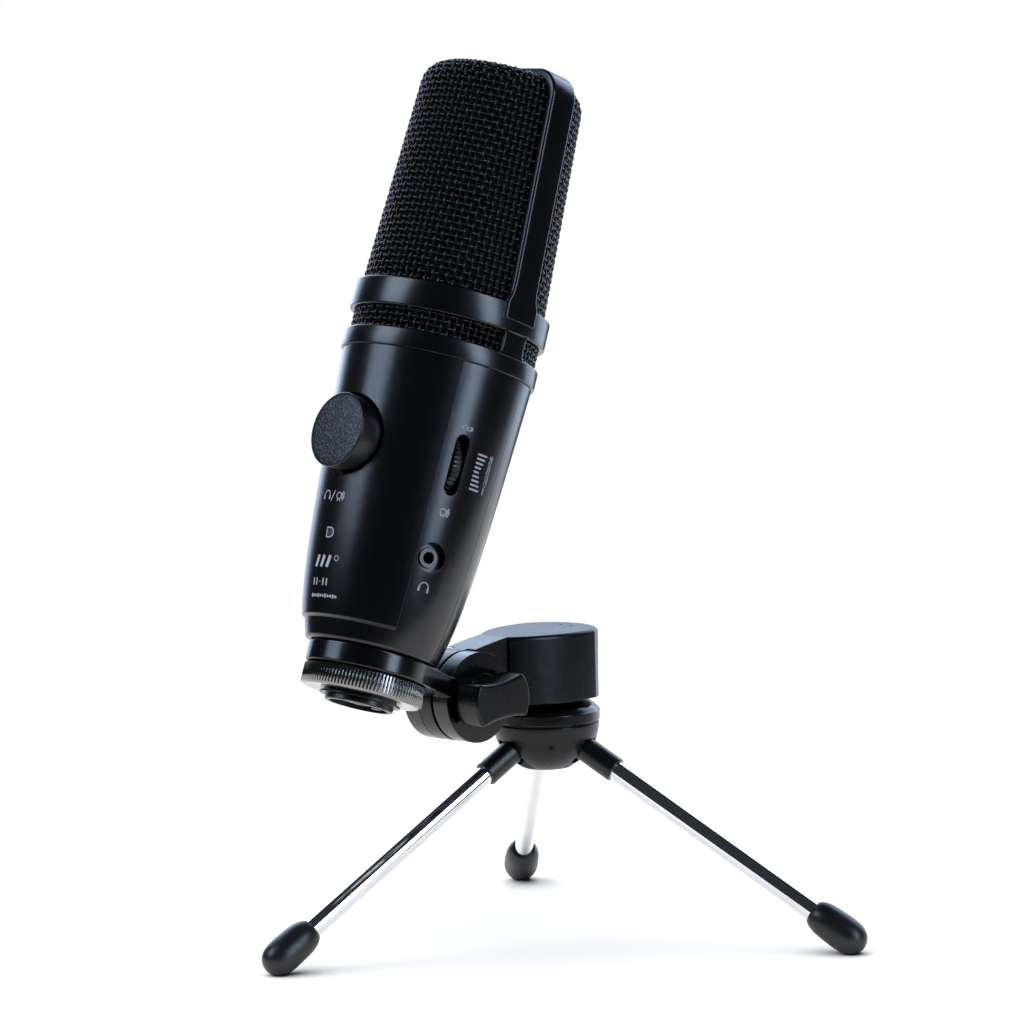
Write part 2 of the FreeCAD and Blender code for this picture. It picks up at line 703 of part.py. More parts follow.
def wing_knob():
    """Waisted wing that tightens the hinge, on a round collar."""
    end_radius = wing_length / 2
    half_end = wing_end_width / 2
    corner_x = math.sqrt(end_radius ** 2 - half_end ** 2)
    base = hinge_near + seat_gap
    low = base + wing_collar_height
    near = [Vector(corner_x, half_end, low), Vector(-corner_x, half_end, low),
            Vector(-corner_x, -half_end, low), Vector(corner_x, -half_end, low)]
    waist = wing_waist_width / 2
    edges = [Part.Arc(near[0], Vector(0, waist, low), near[1]).toShape(),
             Part.Arc(near[1], Vector(-end_radius, 0, low), near[2]).toShape(),
             Part.Arc(near[2], Vector(0, -waist, low), near[3]).toShape(),
             Part.Arc(near[3], Vector(end_radius, 0, low), near[0]).toShape()]
    shape = prism(edges, Vector(0, 0, wing_height))
    corners = [e for e in shape.Edges if e.Length > wing_height - 0.01 and e.Length < wing_height + 0.01]
    shape = shape.makeFillet(wing_corner_radius, corners)
    face_edges = [e for e in shape.Edges if e.BoundBox.ZMin > low + wing_height - 0.01]
    shape = shape.makeFillet(wing_edge_radius, face_edges)
    shape = shape.fuse(disc(wing_collar_diameter / 2, base, low))
    shape = shape.cut(disc(hinge_bolt_diameter / 2, base - 1, bolt_end))
    # In the hinge frame the outline's +X points down and its +Y along the part's +Y.
    shape = turned_about_z(shape, 90.0 + wing_tilt)
    return in_hinge_frame(shape.removeSplitter())


def stand_ring():
    """Ring that clamps the microphone, with its arm and the two hinge ears."""
    radius = ring_diameter / 2
    ring = disc(radius, ring_bottom, ring_top)
    outer = max(hinge_near, -hinge_far)
    shoulder = Vector(outer, arm_reach - wing_length / 2 - swing_gap, ring_bottom)
    reach = math.hypot(shoulder.x, shoulder.y)
    a = math.atan2(shoulder.y, shoulder.x) - math.acos(radius / reach)
    tangent = Vector(radius * math.cos(a), radius * math.sin(a), ring_bottom)
    right = [tangent, shoulder, Vector(outer, arm_reach, ring_bottom)]
    corners = right + [Vector(-point.x, point.y, point.z) for point in reversed(right)]
    arm = Part.Face(Part.makePolygon(corners + corners[:1])).extrude(Vector(0, 0, ring_thickness))
    shape = ring.fuse(arm)
    edges = [e for e in shape.Edges if e.BoundBox.ZLength < 0.01 and e.Length > 3]
    shape = shape.makeFillet(ring_edge_radius, edges)
    for low, high in ((ear_near, hinge_near), (hinge_far, ear_far)):
        shape = shape.fuse(rod_x(ear_radius, low, high, arm_reach, ring_middle))
    tongue_room = rod_x(ear_radius + swing_gap, ear_far, ear_near, arm_reach, ring_middle)
    shape = shape.cut(tongue_room)
    shape = shape.cut(disc(stub_thread_diameter / 2 + swing_gap, ring_bottom - 1, ring_top + 1))
    shape = shape.cut(rod_x(hinge_bolt_diameter / 2 + running_fit, -30, 30, arm_reach, ring_middle))
    pocket = hexagon(hinge_nut_width + 2 * assembly_gap, nut_pocket_depth() + 5)
    pocket.translate(Vector(0, 0, hinge_far - 5))
    across = Rotation(Vector(0, 1, 0), 90)
    at_hinge = Placement(Vector(0, hinge_y, hinge_z), across)
    pocket = placed(pocket, mic_frame.inverse().multiply(at_hinge))
    return placed(shape.cut(pocket).removeSplitter(), mic_frame)


def ring_nut():
    """Knurled nut that clamps the ring against the body."""
    radius = nut_diameter / 2
    bore = stub_thread_diameter / 2 + running_fit
    blank = ribbed_disc(radius, nut_rib_depth, nut_ribs, nut_height)
    blank.translate(Vector(0, 0, nut_bottom))
    inner = radius - nut_edge
    turned_blank = turned([(bore, nut_bottom), (inner, nut_bottom), (radius, nut_bottom + nut_edge),
                           (radius, nut_top - nut_edge), (inner, nut_top), (bore, nut_top)])
    return placed(blank.common(turned_blank), mic_frame)


# ---------------------------------------------------------------- microphone base
def base_stub():
    """Hollow threaded stub with a lip at its mouth and a flange inside the body."""
    thread = stub_thread_diameter / 2
    lip = stub_lip_diameter / 2
    bore = stub_bore_diameter / 2
    groove = flange_ring_inner()
    ring_high = flange_ring_rise + flange_ring_thickness
    flange = stub_flange_diameter / 2
    shape = turned([(bore, 0), (lip - stub_lip_edge, 0), (lip, stub_lip_edge), (lip, flange_ring_rise),
                    (groove, flange_ring_rise), (groove, ring_high), (thread, ring_high),
                    (thread, stub_floor), (flange, stub_floor), (flange, stub_top), (bore, stub_top)])
    hole = screw_hole(screw_diameter, screw_head, stub_screw_room)
    for angle in stub_screw_angles:
        shape = shape.cut(placed(hole, stub_screw_frame(angle)))
    return shape


def stub_screw_frame(angle):
    """Frame of one screw in the body's floor, with its head facing down."""
    a = math.radians(angle)
    radius = (stub_thread_diameter + stub_flange_diameter) / 4
    place = Vector(radius * math.cos(a), radius * math.sin(a), body_bottom)
    return Placement(place, Rotation(Vector(1, 0, 0), 180))


def stub_screws():
    """Four screws through the body's floor into the stub's flange."""
    screw = countersunk_screw(screw_diameter, screw_head, stub_screw_length)
    return Part.makeCompound([placed(screw, stub_screw_frame(angle)) for angle in stub_screw_angles])


def flange_ring_inner():
    """Radius of the groove that holds the flange ring."""
    return stub_lip_diameter / 2 - flange_groove_depth


def flange_ring():
    """Thin ring that keeps the nut on the stub."""
    return tube(flange_ring_diameter / 2, flange_ring_inner(), flange_ring_rise,
                flange_ring_rise + flange_ring_thickness)


def bottom_plate():
    """Bright plate inside the stub's mouth, around the socket."""
    shape = disc(stub_bore_diameter / 2 - assembly_gap, plate_rise, plate_rise + plate_thickness)
    half_x = usb_width / 2 + assembly_gap
    half_y = usb_depth / 2 + assembly_gap
    shape = shape.cut(box((-half_x, half_x), (-half_y, half_y), (0, 5)))
    for y in (-bottom_screw_offset, bottom_screw_offset):
        shape = shape.cut(Part.makeCylinder(bottom_screw_diameter / 2 + assembly_gap, 9, Vector(0, y, 0)))
    return shape


def bottom_screws():
    """Two small pan screws in the bottom plate."""
    screws = []
    for y in (-bottom_screw_offset, bottom_screw_offset):
        low = Vector(0, y, plate_rise - bottom_screw_head_height)
        head = Part.makeCylinder(bottom_screw_head / 2, bottom_screw_head_height, low)
        shank = Part.makeCylinder(bottom_screw_diameter / 2, bottom_screw_length, Vector(0, y, plate_rise))
        recess = placed(cross_recess(bottom_screw_head), Placement(low, Rotation(Vector(1, 0, 0), 180)))
        screws.append(head.fuse(shank).cut(recess).removeSplitter())
    return Part.makeCompound(screws)


def screw_lugs():
    """Ring inside the stub that the bottom plate is screwed to, with the socket's room cut out."""
    low = plate_rise + plate_thickness
    shape = disc(stub_bore_diameter / 2 - assembly_gap, low, low + bottom_screw_length)
    half_x = usb_width / 2 + assembly_gap
    half_y = usb_depth / 2 + assembly_gap
    shape = shape.cut(box((-half_x, half_x), (-half_y, half_y), (0, 30)))
    inner = half_x - lug_overlap
    for sides in ((-30, -inner), (inner, 30)):
        shape = shape.cut(box(sides, (-30, 30), (0, 30)))
    for y in (-bottom_screw_offset, bottom_screw_offset):
        shape = shape.cut(Part.makeCylinder(bottom_screw_diameter / 2, 30, Vector(0, y, 0)))
    return Part.makeCompound(shape.Solids)


def usb_socket():
    """Square-mouthed USB socket."""
    across = (-usb_width / 2, usb_width / 2)
    deep_range = (-usb_depth / 2, usb_depth / 2)
    outer = box(across, deep_range, (usb_rise, usb_rise + usb_length))
    wide, deep = usb_mouth
    side = wide / 2
    back = deep / 2
    corners = [(-side, -back), (side, -back), (side, back - usb_bevel), (side - usb_bevel, back),
               (-side + usb_bevel, back), (-side, back - usb_bevel)]
    points = [Vector(x, y, usb_rise - 1) for x, y in corners]
    mouth = Part.Face(Part.makePolygon(points + points[:1])).extrude(Vector(0, 0, usb_mouth_depth + 1))
    half_x = usb_tongue[0] / 2
    half_y = usb_tongue[1] / 2
    low = usb_rise + usb_tongue_setback
    tongue = box((-half_x, half_x), (-half_y, half_y), (low, usb_rise + usb_mouth_depth))
    return outer.cut(mouth).fuse(tongue).removeSplitter()


def usb_board():
    """Small round board behind the socket."""
    low = usb_rise + usb_length
    return disc(stub_bore_diameter / 2 - assembly_gap, low, low + board_thickness)


# ---------------------------------------------------------------- microphone body
def body_radius(station):
    """Outer radius of the body at a station: a quick swell near the bottom, then an even taper."""
    share = (station - body_bottom) / body_length
    even = (body_top_radius - body_bottom_radius - body_swell) * share
    return body_bottom_radius + even + body_swell * (1 - math.exp(-body_swell_rate * share))


def panel_rise(station):
    """How far the front panel stands out of the body at a station."""
    share = (station - body_bottom) / body_length
    return panel_rise_bottom + (panel_rise_top - panel_rise_bottom) * share


def flank_curve(offset_at, start, end):
    """Smooth curve along the body's side, outside its surface by an offset that depends on the station."""
    points = []
    for step in range(flank_steps + 1):
        station = start + (end - start) * (step / flank_steps) ** flank_crowding
        points.append(Vector(body_radius(station) + offset_at(station), 0, station))
    curve = Part.BSplineCurve()
    curve.interpolate(points)
    return curve.toShape(), points[0], points[-1]


def body_solid(offset, start, end):
    """Solid inside the body's surface moved by an offset, between two stations."""
    flank, low, high = flank_curve(lambda station: offset, start, end)
    edges = [Part.makeLine(Vector(0, 0, start), low), flank, Part.makeLine(high, Vector(0, 0, end)),
             Part.makeLine(Vector(0, 0, end), Vector(0, 0, start))]
    return Part.Face(Part.Wire(edges)).revolve(Vector(0, 0, 0), Vector(0, 0, 1), 360)


def front_panel():
    """Raised panel over the front, bevelled along its lower edge."""
    start = body_bottom + panel_start
    outer, low, high = flank_curve(panel_rise, start + panel_bevel, body_top)
    inner, inner_low, inner_high = flank_curve(lambda station: -panel_root, start, body_top)
    edges = [Part.makeLine(inner_low, low), outer, Part.makeLine(high, inner_high), inner]
    face = Part.Face(Part.Wire(edges))
    turned_face = turned_about_z(face, -90.0 - panel_half_angle)
    return turned_face.revolve(Vector(0, 0, 0), Vector(0, 0, 1), 2 * panel_half_angle)


def rear_wedge(margin):
    """Wedge behind the axis that holds the rear shell, moved outwards by a margin."""
    half = math.radians(rear_shell_angle / 2)
    far = 120.0
    tip = Vector(0, -margin / math.sin(half), 0)
    corners = [tip, tip + Vector(far * math.sin(half), far * math.cos(half), 0),
               tip + Vector(-far * math.sin(half), far * math.cos(half), 0)]
    wedge = Part.Face(Part.makePolygon(corners + corners[:1])).extrude(Vector(0, 0, 300))
    wedge.translate(Vector(0, 0, -50))
    return wedge


def body_shell():
    """Whole body wall with its floor, before it is split into two shells."""
    outer = body_solid(0, body_bottom, body_top)
    bottom_edges = [e for e in outer.Edges if e.BoundBox.ZMax < body_bottom + 0.01]
    outer = outer.makeFillet(body_bottom_edge, bottom_edges)
    hollow = body_solid(-body_wall, body_bottom + body_floor, body_top + 1)
    shell = outer.cut(hollow)
    shell = shell.cut(disc(stub_thread_diameter / 2 + assembly_gap, 0, body_bottom + body_floor + 1))
    low_hole = screw_hole(screw_diameter, screw_head, stub_screw_room)
    high_hole = screw_hole(screw_diameter, screw_head, head_screw_room)
    for angle in stub_screw_angles:
        shell = shell.cut(placed(low_hole, stub_screw_frame(angle)))
    for angle in head_screw_angles:
        shell = shell.cut(placed(high_hole, head_screw_frame(angle)))
    return shell


def control_frame(station, radius):
    """Frame on the side controls' line, with +Z pointing outwards, +X down and +Y round the body."""
    return along_radius(controls_angle, radius, station)


def knob_station():
    return body_bottom + knob_height


def knob_front():
    """Distance of the knob's face in front of the microphone's axis."""
    station = knob_station()
    return body_radius(station) + panel_rise(station) + knob_projection


def pocket_floor_y():
    """Flat floor of the round pocket behind the knob, where the pocket just cuts the body's sides."""
    station = knob_station()
    half = knob_pocket_diameter / 2
    return -math.sqrt(body_radius(station) ** 2 - half ** 2) + knob_pocket_bite


def body_front():
    """Front shell: front panel, wheel slot, jack well, knob pocket and light hole."""
    shell = body_shell().fuse(front_panel())
    outer = body_solid(0, body_bottom, body_top)
    station = knob_station()
    floor = pocket_floor_y()
    boss = rod_y(knob_pocket_diameter / 2 + knob_pocket_wall, -40, floor + knob_pocket_floor, 0, station)
    shell = shell.fuse(boss.common(outer))
    shell = shell.cut(rod_y(knob_pocket_diameter / 2, -60, floor, 0, station))
    shell = shell.cut(rod_y(pot_bushing_diameter / 2 + assembly_gap, -60, 0, 0, station))
    well_floor = body_radius(body_bottom + jack_height) - jack_well_depth
    frame = control_frame(body_bottom + jack_height, well_floor)
    well = placed(disc(jack_well_diameter / 2 + jack_well_wall, -jack_well_wall, 9), frame).common(outer)
    shell = shell.fuse(well)
    shell = shell.cut(placed(disc(jack_well_diameter / 2, 0, 9), frame))
    shell = shell.cut(placed(disc(jack_bushing_diameter / 2 + assembly_gap, -9, 9), frame))
    shell = shell.cut(placed(wheel_slot_room(), control_frame(body_bottom + wheel_height, 0)))
    led_z = body_bottom + led_height
    shell = shell.cut(rod_y(led_diameter / 2 + assembly_gap, -60, 0, 0, led_z))
    return largest_solid(shell.cut(rear_wedge(seam_gap / 2)))


def largest_solid(shape):
    """The biggest solid of a shape, without splitting edges."""
    return max(shape.Solids, key=lambda solid: solid.Volume).removeSplitter()


def wheel_slot_room():
    """Long slot with round ends for the wheel, drawn along the outward direction."""
    length, width = wheel_slot
    reach = length / 2 - width / 2
    block = box((-reach, reach), (-width / 2, width / 2), (10, 60))
    ends = [Part.makeCylinder(width / 2, 50, Vector(x, 0, 10)) for x in (-reach, reach)]
    return block.fuse(ends[0]).fuse(ends[1])


def body_rear():
    """Rear shell."""
    return largest_solid(body_shell().common(rear_wedge(-seam_gap / 2)))


def main_board():
    """Upright circuit board that stands on the stub's flange."""
    return box((-board_width / 2, board_width / 2), (board_offset, board_offset + board_thickness),
               (stub_top, stub_top + board_height))


def mix_pot_front():
    """Front face of the mix potentiometer's body."""
    return pocket_floor_y() + knob_pocket_floor + pot_nut_height


def control_board_front():
    """Front face of the control board, behind the mix potentiometer."""
    return mix_pot_front() + pot_size[1]


def control_board():
    """Small board that carries the mix potentiometer and the light."""
    front = control_board_front()
    high = knob_station() + pot_size[2] / 2 + control_board_margin
    return box((-control_board_width / 2, control_board_width / 2), (front, front + board_thickness),
               (high - control_board_height, high))


def board_header():
    """Pin header between the two boards."""
    low = knob_station() - header_drop
    return box((-header_width / 2, header_width / 2), (control_board_front() + board_thickness, board_offset),
               (low, low + header_height))


def mix_pot():
    """Potentiometer body with its threaded bushing."""
    wide, deep, high = pot_size
    front = mix_pot_front()
    station = knob_station()
    body = box((-wide / 2, wide / 2), (front, front + deep), (station - high / 2, station + high / 2))
    bushing = rod_y(pot_bushing_diameter / 2, pocket_floor_y() + pot_bushing_setback, front, 0, station)
    shaft_room = rod_y(pot_shaft_diameter / 2 + running_fit, -60, front + deep - pot_back_wall, 0, station)
    return body.fuse(bushing).cut(shaft_room).removeSplitter()


def mix_pot_nut():
    """Nut that clamps the potentiometer behind the pocket's floor."""
    shape = hexagon(pot_nut_width, pot_nut_height).cut(disc(pot_bushing_diameter / 2, -1, 5))
    front = pocket_floor_y() + knob_pocket_floor
    return placed(shape, Placement(Vector(0, front, knob_station()), Rotation(Vector(1, 0, 0), -90)))


def mix_shaft():
    """Shaft of the mix potentiometer."""
    back = mix_pot_front() + pot_size[1] - pot_back_wall - shaft_end_gap
    return rod_y(pot_shaft_diameter / 2, -knob_front() + knob_face_wall, back, 0, knob_station())


def mix_knob():
    """Smooth knob with a shallow seat for its face disc."""
    station = knob_station()
    front = -knob_front()
    back = pocket_floor_y() - swing_gap
    shape = rod_y(knob_diameter / 2, front, back, 0, station)
    rims = [e for e in shape.Edges if e.BoundBox.YMax < front + 0.01]
    shape = shape.makeChamfer(knob_edge, rims)
    shape = shape.cut(rod_y(knob_cap_diameter / 2, front - 1, front + knob_cap_thickness, 0, station))
    room = front + knob_face_wall
    shape = shape.cut(rod_y(knob_diameter / 2 - knob_wall, room, back + 1, 0, station))
    shape = shape.fuse(rod_y(pot_shaft_diameter / 2 + knob_wall, room, back, 0, station))
    return shape.cut(rod_y(pot_shaft_diameter / 2, room, back + 1, 0, station)).removeSplitter()


def mix_knob_cap():
    """Textured disc in the knob's face."""
    front = -knob_front()
    low = front + knob_cap_setback
    return rod_y(knob_cap_diameter / 2 - assembly_gap, low, front + knob_cap_thickness, 0, knob_station())


def wheel_frame():
    """Frame at the gain wheel's centre: +Z outwards, +X down, +Y round the body."""
    station = body_bottom + wheel_height
    radius = body_radius(station) + wheel_proud - wheel_diameter / 2
    return control_frame(station, radius)


def gain_wheel():
    """Ribbed thumb wheel that turns about the line round the body."""
    shape = ribbed_disc(wheel_diameter / 2, wheel_rib_depth, wheel_ribs, wheel_thickness)
    shape.translate(Vector(0, 0, -wheel_thickness / 2))
    shape = shape.cut(disc(gain_shaft_diameter / 2, -9, 9))
    return on_wheel_axis(shape)


def on_wheel_axis(shape):
    """Moves a shape drawn about Z onto the wheel's axis."""
    return placed(shape, wheel_frame().multiply(Placement(Vector(), Rotation(Vector(1, 0, 0), -90))))


def gain_pot():
    """Potentiometer beside the wheel."""
    wide, deep, high = gain_pot_size
    start = wheel_thickness / 2 + swing_gap
    shape = box((-wide / 2, wide / 2), (-high / 2, high / 2), (start, start + deep))
    bore = disc(gain_shaft_diameter / 2 + running_fit, start - 1, start + deep - gain_shaft_bore_wall)
    return on_wheel_axis(shape.cut(bore))


def gain_shaft():
    """Shaft that the wheel is pressed on."""
    end = wheel_thickness / 2 + swing_gap + gain_pot_size[1] - gain_shaft_bore_wall - gain_shaft_end_gap
    return on_wheel_axis(disc(gain_shaft_diameter / 2, -wheel_thickness / 2, end))


def headphone_jack():
    """Headphone jack: a bushing in the well's floor and a body behind it."""
    station = body_bottom + jack_height
    mouth = body_radius(station) - jack_well_depth + jack_bushing_rise
    long, wide, high = jack_body_size
    back = mouth - jack_bushing_length
    shape = disc(jack_bushing_diameter / 2, back, mouth)
    shape = shape.fuse(box((-high / 2, high / 2), (-wide / 2, wide / 2), (back - long, back)))
    shape = shape.cut(disc(jack_bore_diameter / 2, mouth - jack_bore_depth, mouth + 1))
    return placed(shape.removeSplitter(), control_frame(station, 0))


def led_lens():
    """Small clear light guide, flush with the front panel."""
    station = body_bottom + led_height
    surface = body_radius(station) + panel_rise(station) - led_setback
    return rod_y(led_diameter / 2, -surface, -surface + led_length, 0, station)


# ---------------------------------------------------------------- head
def head_screw_frame(angle):
    """Frame of one screw near the body's top, with its head outwards."""
    station = body_top - head_screw_drop
    return along_radius(angle, body_radius(station) - head_screw_sink, station)


def head_screws():
    """Screws through the rear shell into the head frame's spigot."""
    screw = countersunk_screw(screw_diameter, screw_head, head_screw_length)
    return Part.makeCompound([placed(screw, head_screw_frame(angle)) for angle in head_screw_angles])


def grille_radius(station):
    """Outer radius of the grille at a station."""
    share = (station - collar_top) / head_length
    return grille_base_radius + (grille_top_radius - grille_base_radius) * share


def dome(offset, lift, start):
    """Solid inside the grille's surface moved outwards by an offset and up by a lift."""
    top = grille_top + lift
    corner = grille_corner_radius + offset
    low = Vector(grille_radius(start) + offset, 0, start)
    slant = Vector(grille_radius(top) + offset - low.x, 0, top - start).normalize()
    high = Vector(grille_radius(top) + offset, 0, top)
    setback = corner * math.tan(math.radians(45) - math.atan2(-slant.x, slant.z) / 2)
    on_side = high - slant * setback
    on_top = high - Vector(setback, 0, 0)
    bisector = (Vector(-1, 0, 0) - slant).normalize()
    centre = high + bisector * math.hypot(corner, setback)
    middle = centre - bisector * corner
    edges = [Part.makeLine(Vector(0, 0, start), low), Part.makeLine(low, on_side),
             Part.Arc(on_side, middle, on_top).toShape(), Part.makeLine(on_top, Vector(0, 0, top)),
             Part.makeLine(Vector(0, 0, top), Vector(0, 0, start))]
    return Part.Face(Part.Wire(edges)).revolve(Vector(0, 0, 0), Vector(0, 0, 1), 360)


def collar_inner():
    """Inner radius of the collar, just outside the grille's skirt."""
    return grille_radius(grille_bottom()) + assembly_gap


def grille_bottom():
    return collar_top - grille_skirt


def head_frame():
    """Rim, collar, two posts and the band that bridges the head from side to side."""
    inner = collar_inner()
    spigot = body_radius(body_top - spigot_length) - body_wall - assembly_gap
    rim = turned([(spigot - spigot_wall, body_top - spigot_length), (spigot, body_top - spigot_length),
                  (spigot, rim_bottom), (rim_radius, rim_bottom), (rim_radius, rim_top), (inner, rim_top),
                  (inner, deck_bottom), (spigot - spigot_wall, deck_bottom)])
    collar = tube(collar_radius, inner, collar_bottom, collar_top)
    post_room = box((-60, 60), (-post_width / 2, post_width / 2), (rim_top - 0.5, collar_bottom + 0.5))
    posts = tube(rim_radius, inner, rim_top - 0.5, collar_bottom + 0.5).common(post_room)
    half = band_width / 2
    band_room = box((-60, 60), (-half, half), (grille_bottom(), head_top + 5))
    band = dome(band_rise_side, band_rise_top, collar_bottom).cut(dome(-band_inset, -band_inset, 0))
    band = band.common(band_room)
    shape = rim.fuse(collar).fuse(posts).fuse(band)
    for angle in head_screw_angles:
        shape = shape.cut(placed(disc(screw_diameter / 2, -9, 1), head_screw_frame(angle + body_turn)))
    return shape.removeSplitter()


def grille_half(side):
    """One half of the woven grille as a plain wall, on the side given by the sign of Y."""
    low = grille_bottom()
    wall = dome(0, 0, low).cut(dome(-grille_thickness, -grille_thickness, low - 1))
    edge = band_width / 2 + assembly_gap
    if side < 0:
        room = box((-60, 60), (-60, -edge), (0, 300))
    else:
        room = box((-60, 60), (edge, 60), (0, 300))
    return wall.common(room).removeSplitter()


def grille_liner():
    """Fine inner mesh behind the grille and the band, as a plain cap-shaped wall."""
    outer = -max(grille_thickness, band_inset) - assembly_gap
    low = collar_top - liner_skirt
    inner = outer - liner_thickness
    return dome(outer, outer, low).cut(dome(inner, inner, low - 1))


def lower_grille():
    """Ring of mesh behind the window between rim and collar."""
    outer = collar_inner() - assembly_gap
    return tube(outer, outer - lower_grille_thickness, deck_top, grille_bottom() - assembly_gap)


def head_deck():
    """Plastic deck that closes the body's top and carries the capsule."""
    shape = disc(collar_inner() - assembly_gap, deck_bottom, deck_top)
    side, behind = wire_holes
    for x in (-side, side):
        shape = shape.cut(Part.makeCylinder(wire_hole_diameter / 2, 9, Vector(x, behind, deck_bottom - 1)))
    return shape


def capsule_cradle():
    """Soft cradle: a foot, a post and a ring round the capsule."""
    outer = capsule_diameter / 2 + cradle_wall
    half = cradle_depth / 2
    ring = rod_y(outer, -half, half, 0, capsule_z)
    foot_plate = disc(cradle_foot_diameter / 2, deck_top, deck_top + cradle_foot_thickness)
    side = cradle_post_width / 2
    post = box((-side, side), (-half, half), (deck_top + 2, capsule_z - outer + cradle_post_bite))
    shape = ring.fuse(foot_plate).fuse(post)
    return shape.cut(rod_y(capsule_diameter / 2 + assembly_gap, -60, 60, 0, capsule_z)).removeSplitter()


def row_of_holes(shape, row):
    """Shape with a circle of holes about the capsule's axis, drilled from the diaphragm backwards."""
    count, radius, diameter = row
    start = -capsule_depth / 2 + diaphragm_setback
    for angle in ring_of_angles(count):
        x = radius * math.cos(angle)
        shape = shape.cut(rod_y(diameter / 2, start, capsule_depth, x, capsule_z + radius * math.sin(angle)))
    return shape


def capsule_housing():
    """Metal ring of the capsule, open to the front and closed behind but for its vents."""
    half = capsule_depth / 2
    inner = capsule_diameter / 2 - capsule_wall
    shape = rod_y(capsule_diameter / 2, -half, half, 0, capsule_z)
    shape = shape.cut(rod_y(inner, -half - 1, half - capsule_back, 0, capsule_z))
    return row_of_holes(shape, capsule_vents)


def capsule_diaphragm():
    """Thin metal-coated diaphragm just inside the capsule's front."""
    front = -capsule_depth / 2 + diaphragm_setback
    radius = capsule_diameter / 2 - capsule_wall - assembly_gap
    return rod_y(radius, front, front + diaphragm_thickness, 0, capsule_z)


def capsule_backplate():
    """Perforated brass backplate behind the diaphragm."""
    front = -capsule_depth / 2 + diaphragm_setback + diaphragm_thickness + backplate_gap
    radius = capsule_diameter / 2 - capsule_wall - assembly_gap
    shape = rod_y(radius, front, front + backplate_thickness, 0, capsule_z)
    return row_of_holes(shape, backplate_holes)


# ---------------------------------------------------------------- assembly
def body_pieces():
    """Every piece of the body and its base, drawn about the microphone's own axis."""
    return {
        "base_stub": base_stub(),
        "stub_screws": stub_screws(),
        "flange_ring": flange_ring(),
        "bottom_plate": bottom_plate(),
        "bottom_screws": bottom_screws(),
        "screw_lugs": screw_lugs(),
        "usb_socket": usb_socket(),
        "usb_board": usb_board(),
        "body_front": body_front(),
        "body_rear": body_rear(),
        "main_board": main_board(),
        "control_board": control_board(),
        "board_header": board_header(),
        "mix_pot": mix_pot(),
        "mix_pot_nut": mix_pot_nut(),
        "mix_shaft": mix_shaft(),
        "mix_knob": mix_knob(),
        "mix_knob_cap": mix_knob_cap(),
        "gain_wheel": gain_wheel(),
        "gain_pot": gain_pot(),
        "gain_shaft": gain_shaft(),
        "headphone_jack": headphone_jack(),
        "led_lens": led_lens(),
        "head_screws": head_screws(),
    }


def head_pieces():
    """Every piece of the head, drawn about the microphone's own axis."""
    return {
        "head_frame": head_frame(),
        "front_grille": grille_half(-1),
        "rear_grille": grille_half(1),
        "grille_liner": grille_liner(),
        "lower_grille": lower_grille(),
        "head_deck": head_deck(),
        "capsule_cradle": capsule_cradle(),
        "capsule_housing": capsule_housing(),
        "capsule_diaphragm": capsule_diaphragm(),
        "capsule_backplate": capsule_backplate(),
    }


def stand_pieces():
    """Every piece of the stand, already in the part's frame."""
    pieces = {
        "stand_ring": stand_ring(),
        "ring_nut": ring_nut(),
        "tooth_washer": tooth_washer(),
        "hinge_bolt": hinge_bolt(),
        "hinge_nut": hinge_nut(),
        "wing_knob": wing_knob(),
        "swivel_block": swivel_block(),
        "block_insert": block_insert(),
        "thrust_washer": thrust_washer(),
        "stand_stud": stand_stud(),
        "stud_screw": stud_screw(),
        "hub_cap": hub_cap(),
        "hub_body": hub_body(),
        "hub_grub_screws": grub_screws(),
        "leg_pins": leg_pins(),
    }
    for number, angle in enumerate(leg_angles, start=1):
        pieces["leg_sleeve_%d" % number] = leg_sleeve(angle)
        pieces["leg_tube_%d" % number] = leg_tube(angle)
        pieces["foot_%d" % number] = foot(angle)
    return pieces


def build():
    """Makes every piece and writes one file for each."""
    os.makedirs("parts", exist_ok=True)
    pieces = {name: placed(shape, body_frame) for name, shape in body_pieces().items()}
    pieces.update({name: placed(shape, mic_frame) for name, shape in head_pieces().items()})
    pieces.update(stand_pieces())
    for name, shape in pieces.items():
        shape.exportStep("parts/%s.step" % name)
    return pieces


build()
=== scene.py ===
"""Desktop microphone on a folding table stand: its meshes, finishes, lights and camera."""
import json
import logging
import math
from collections.abc import Sequence
from dataclasses import dataclass
from enum import Enum

import bmesh
import bpy
from mathutils import Matrix, Vector
from mathutils.bvhtree import BVHTree

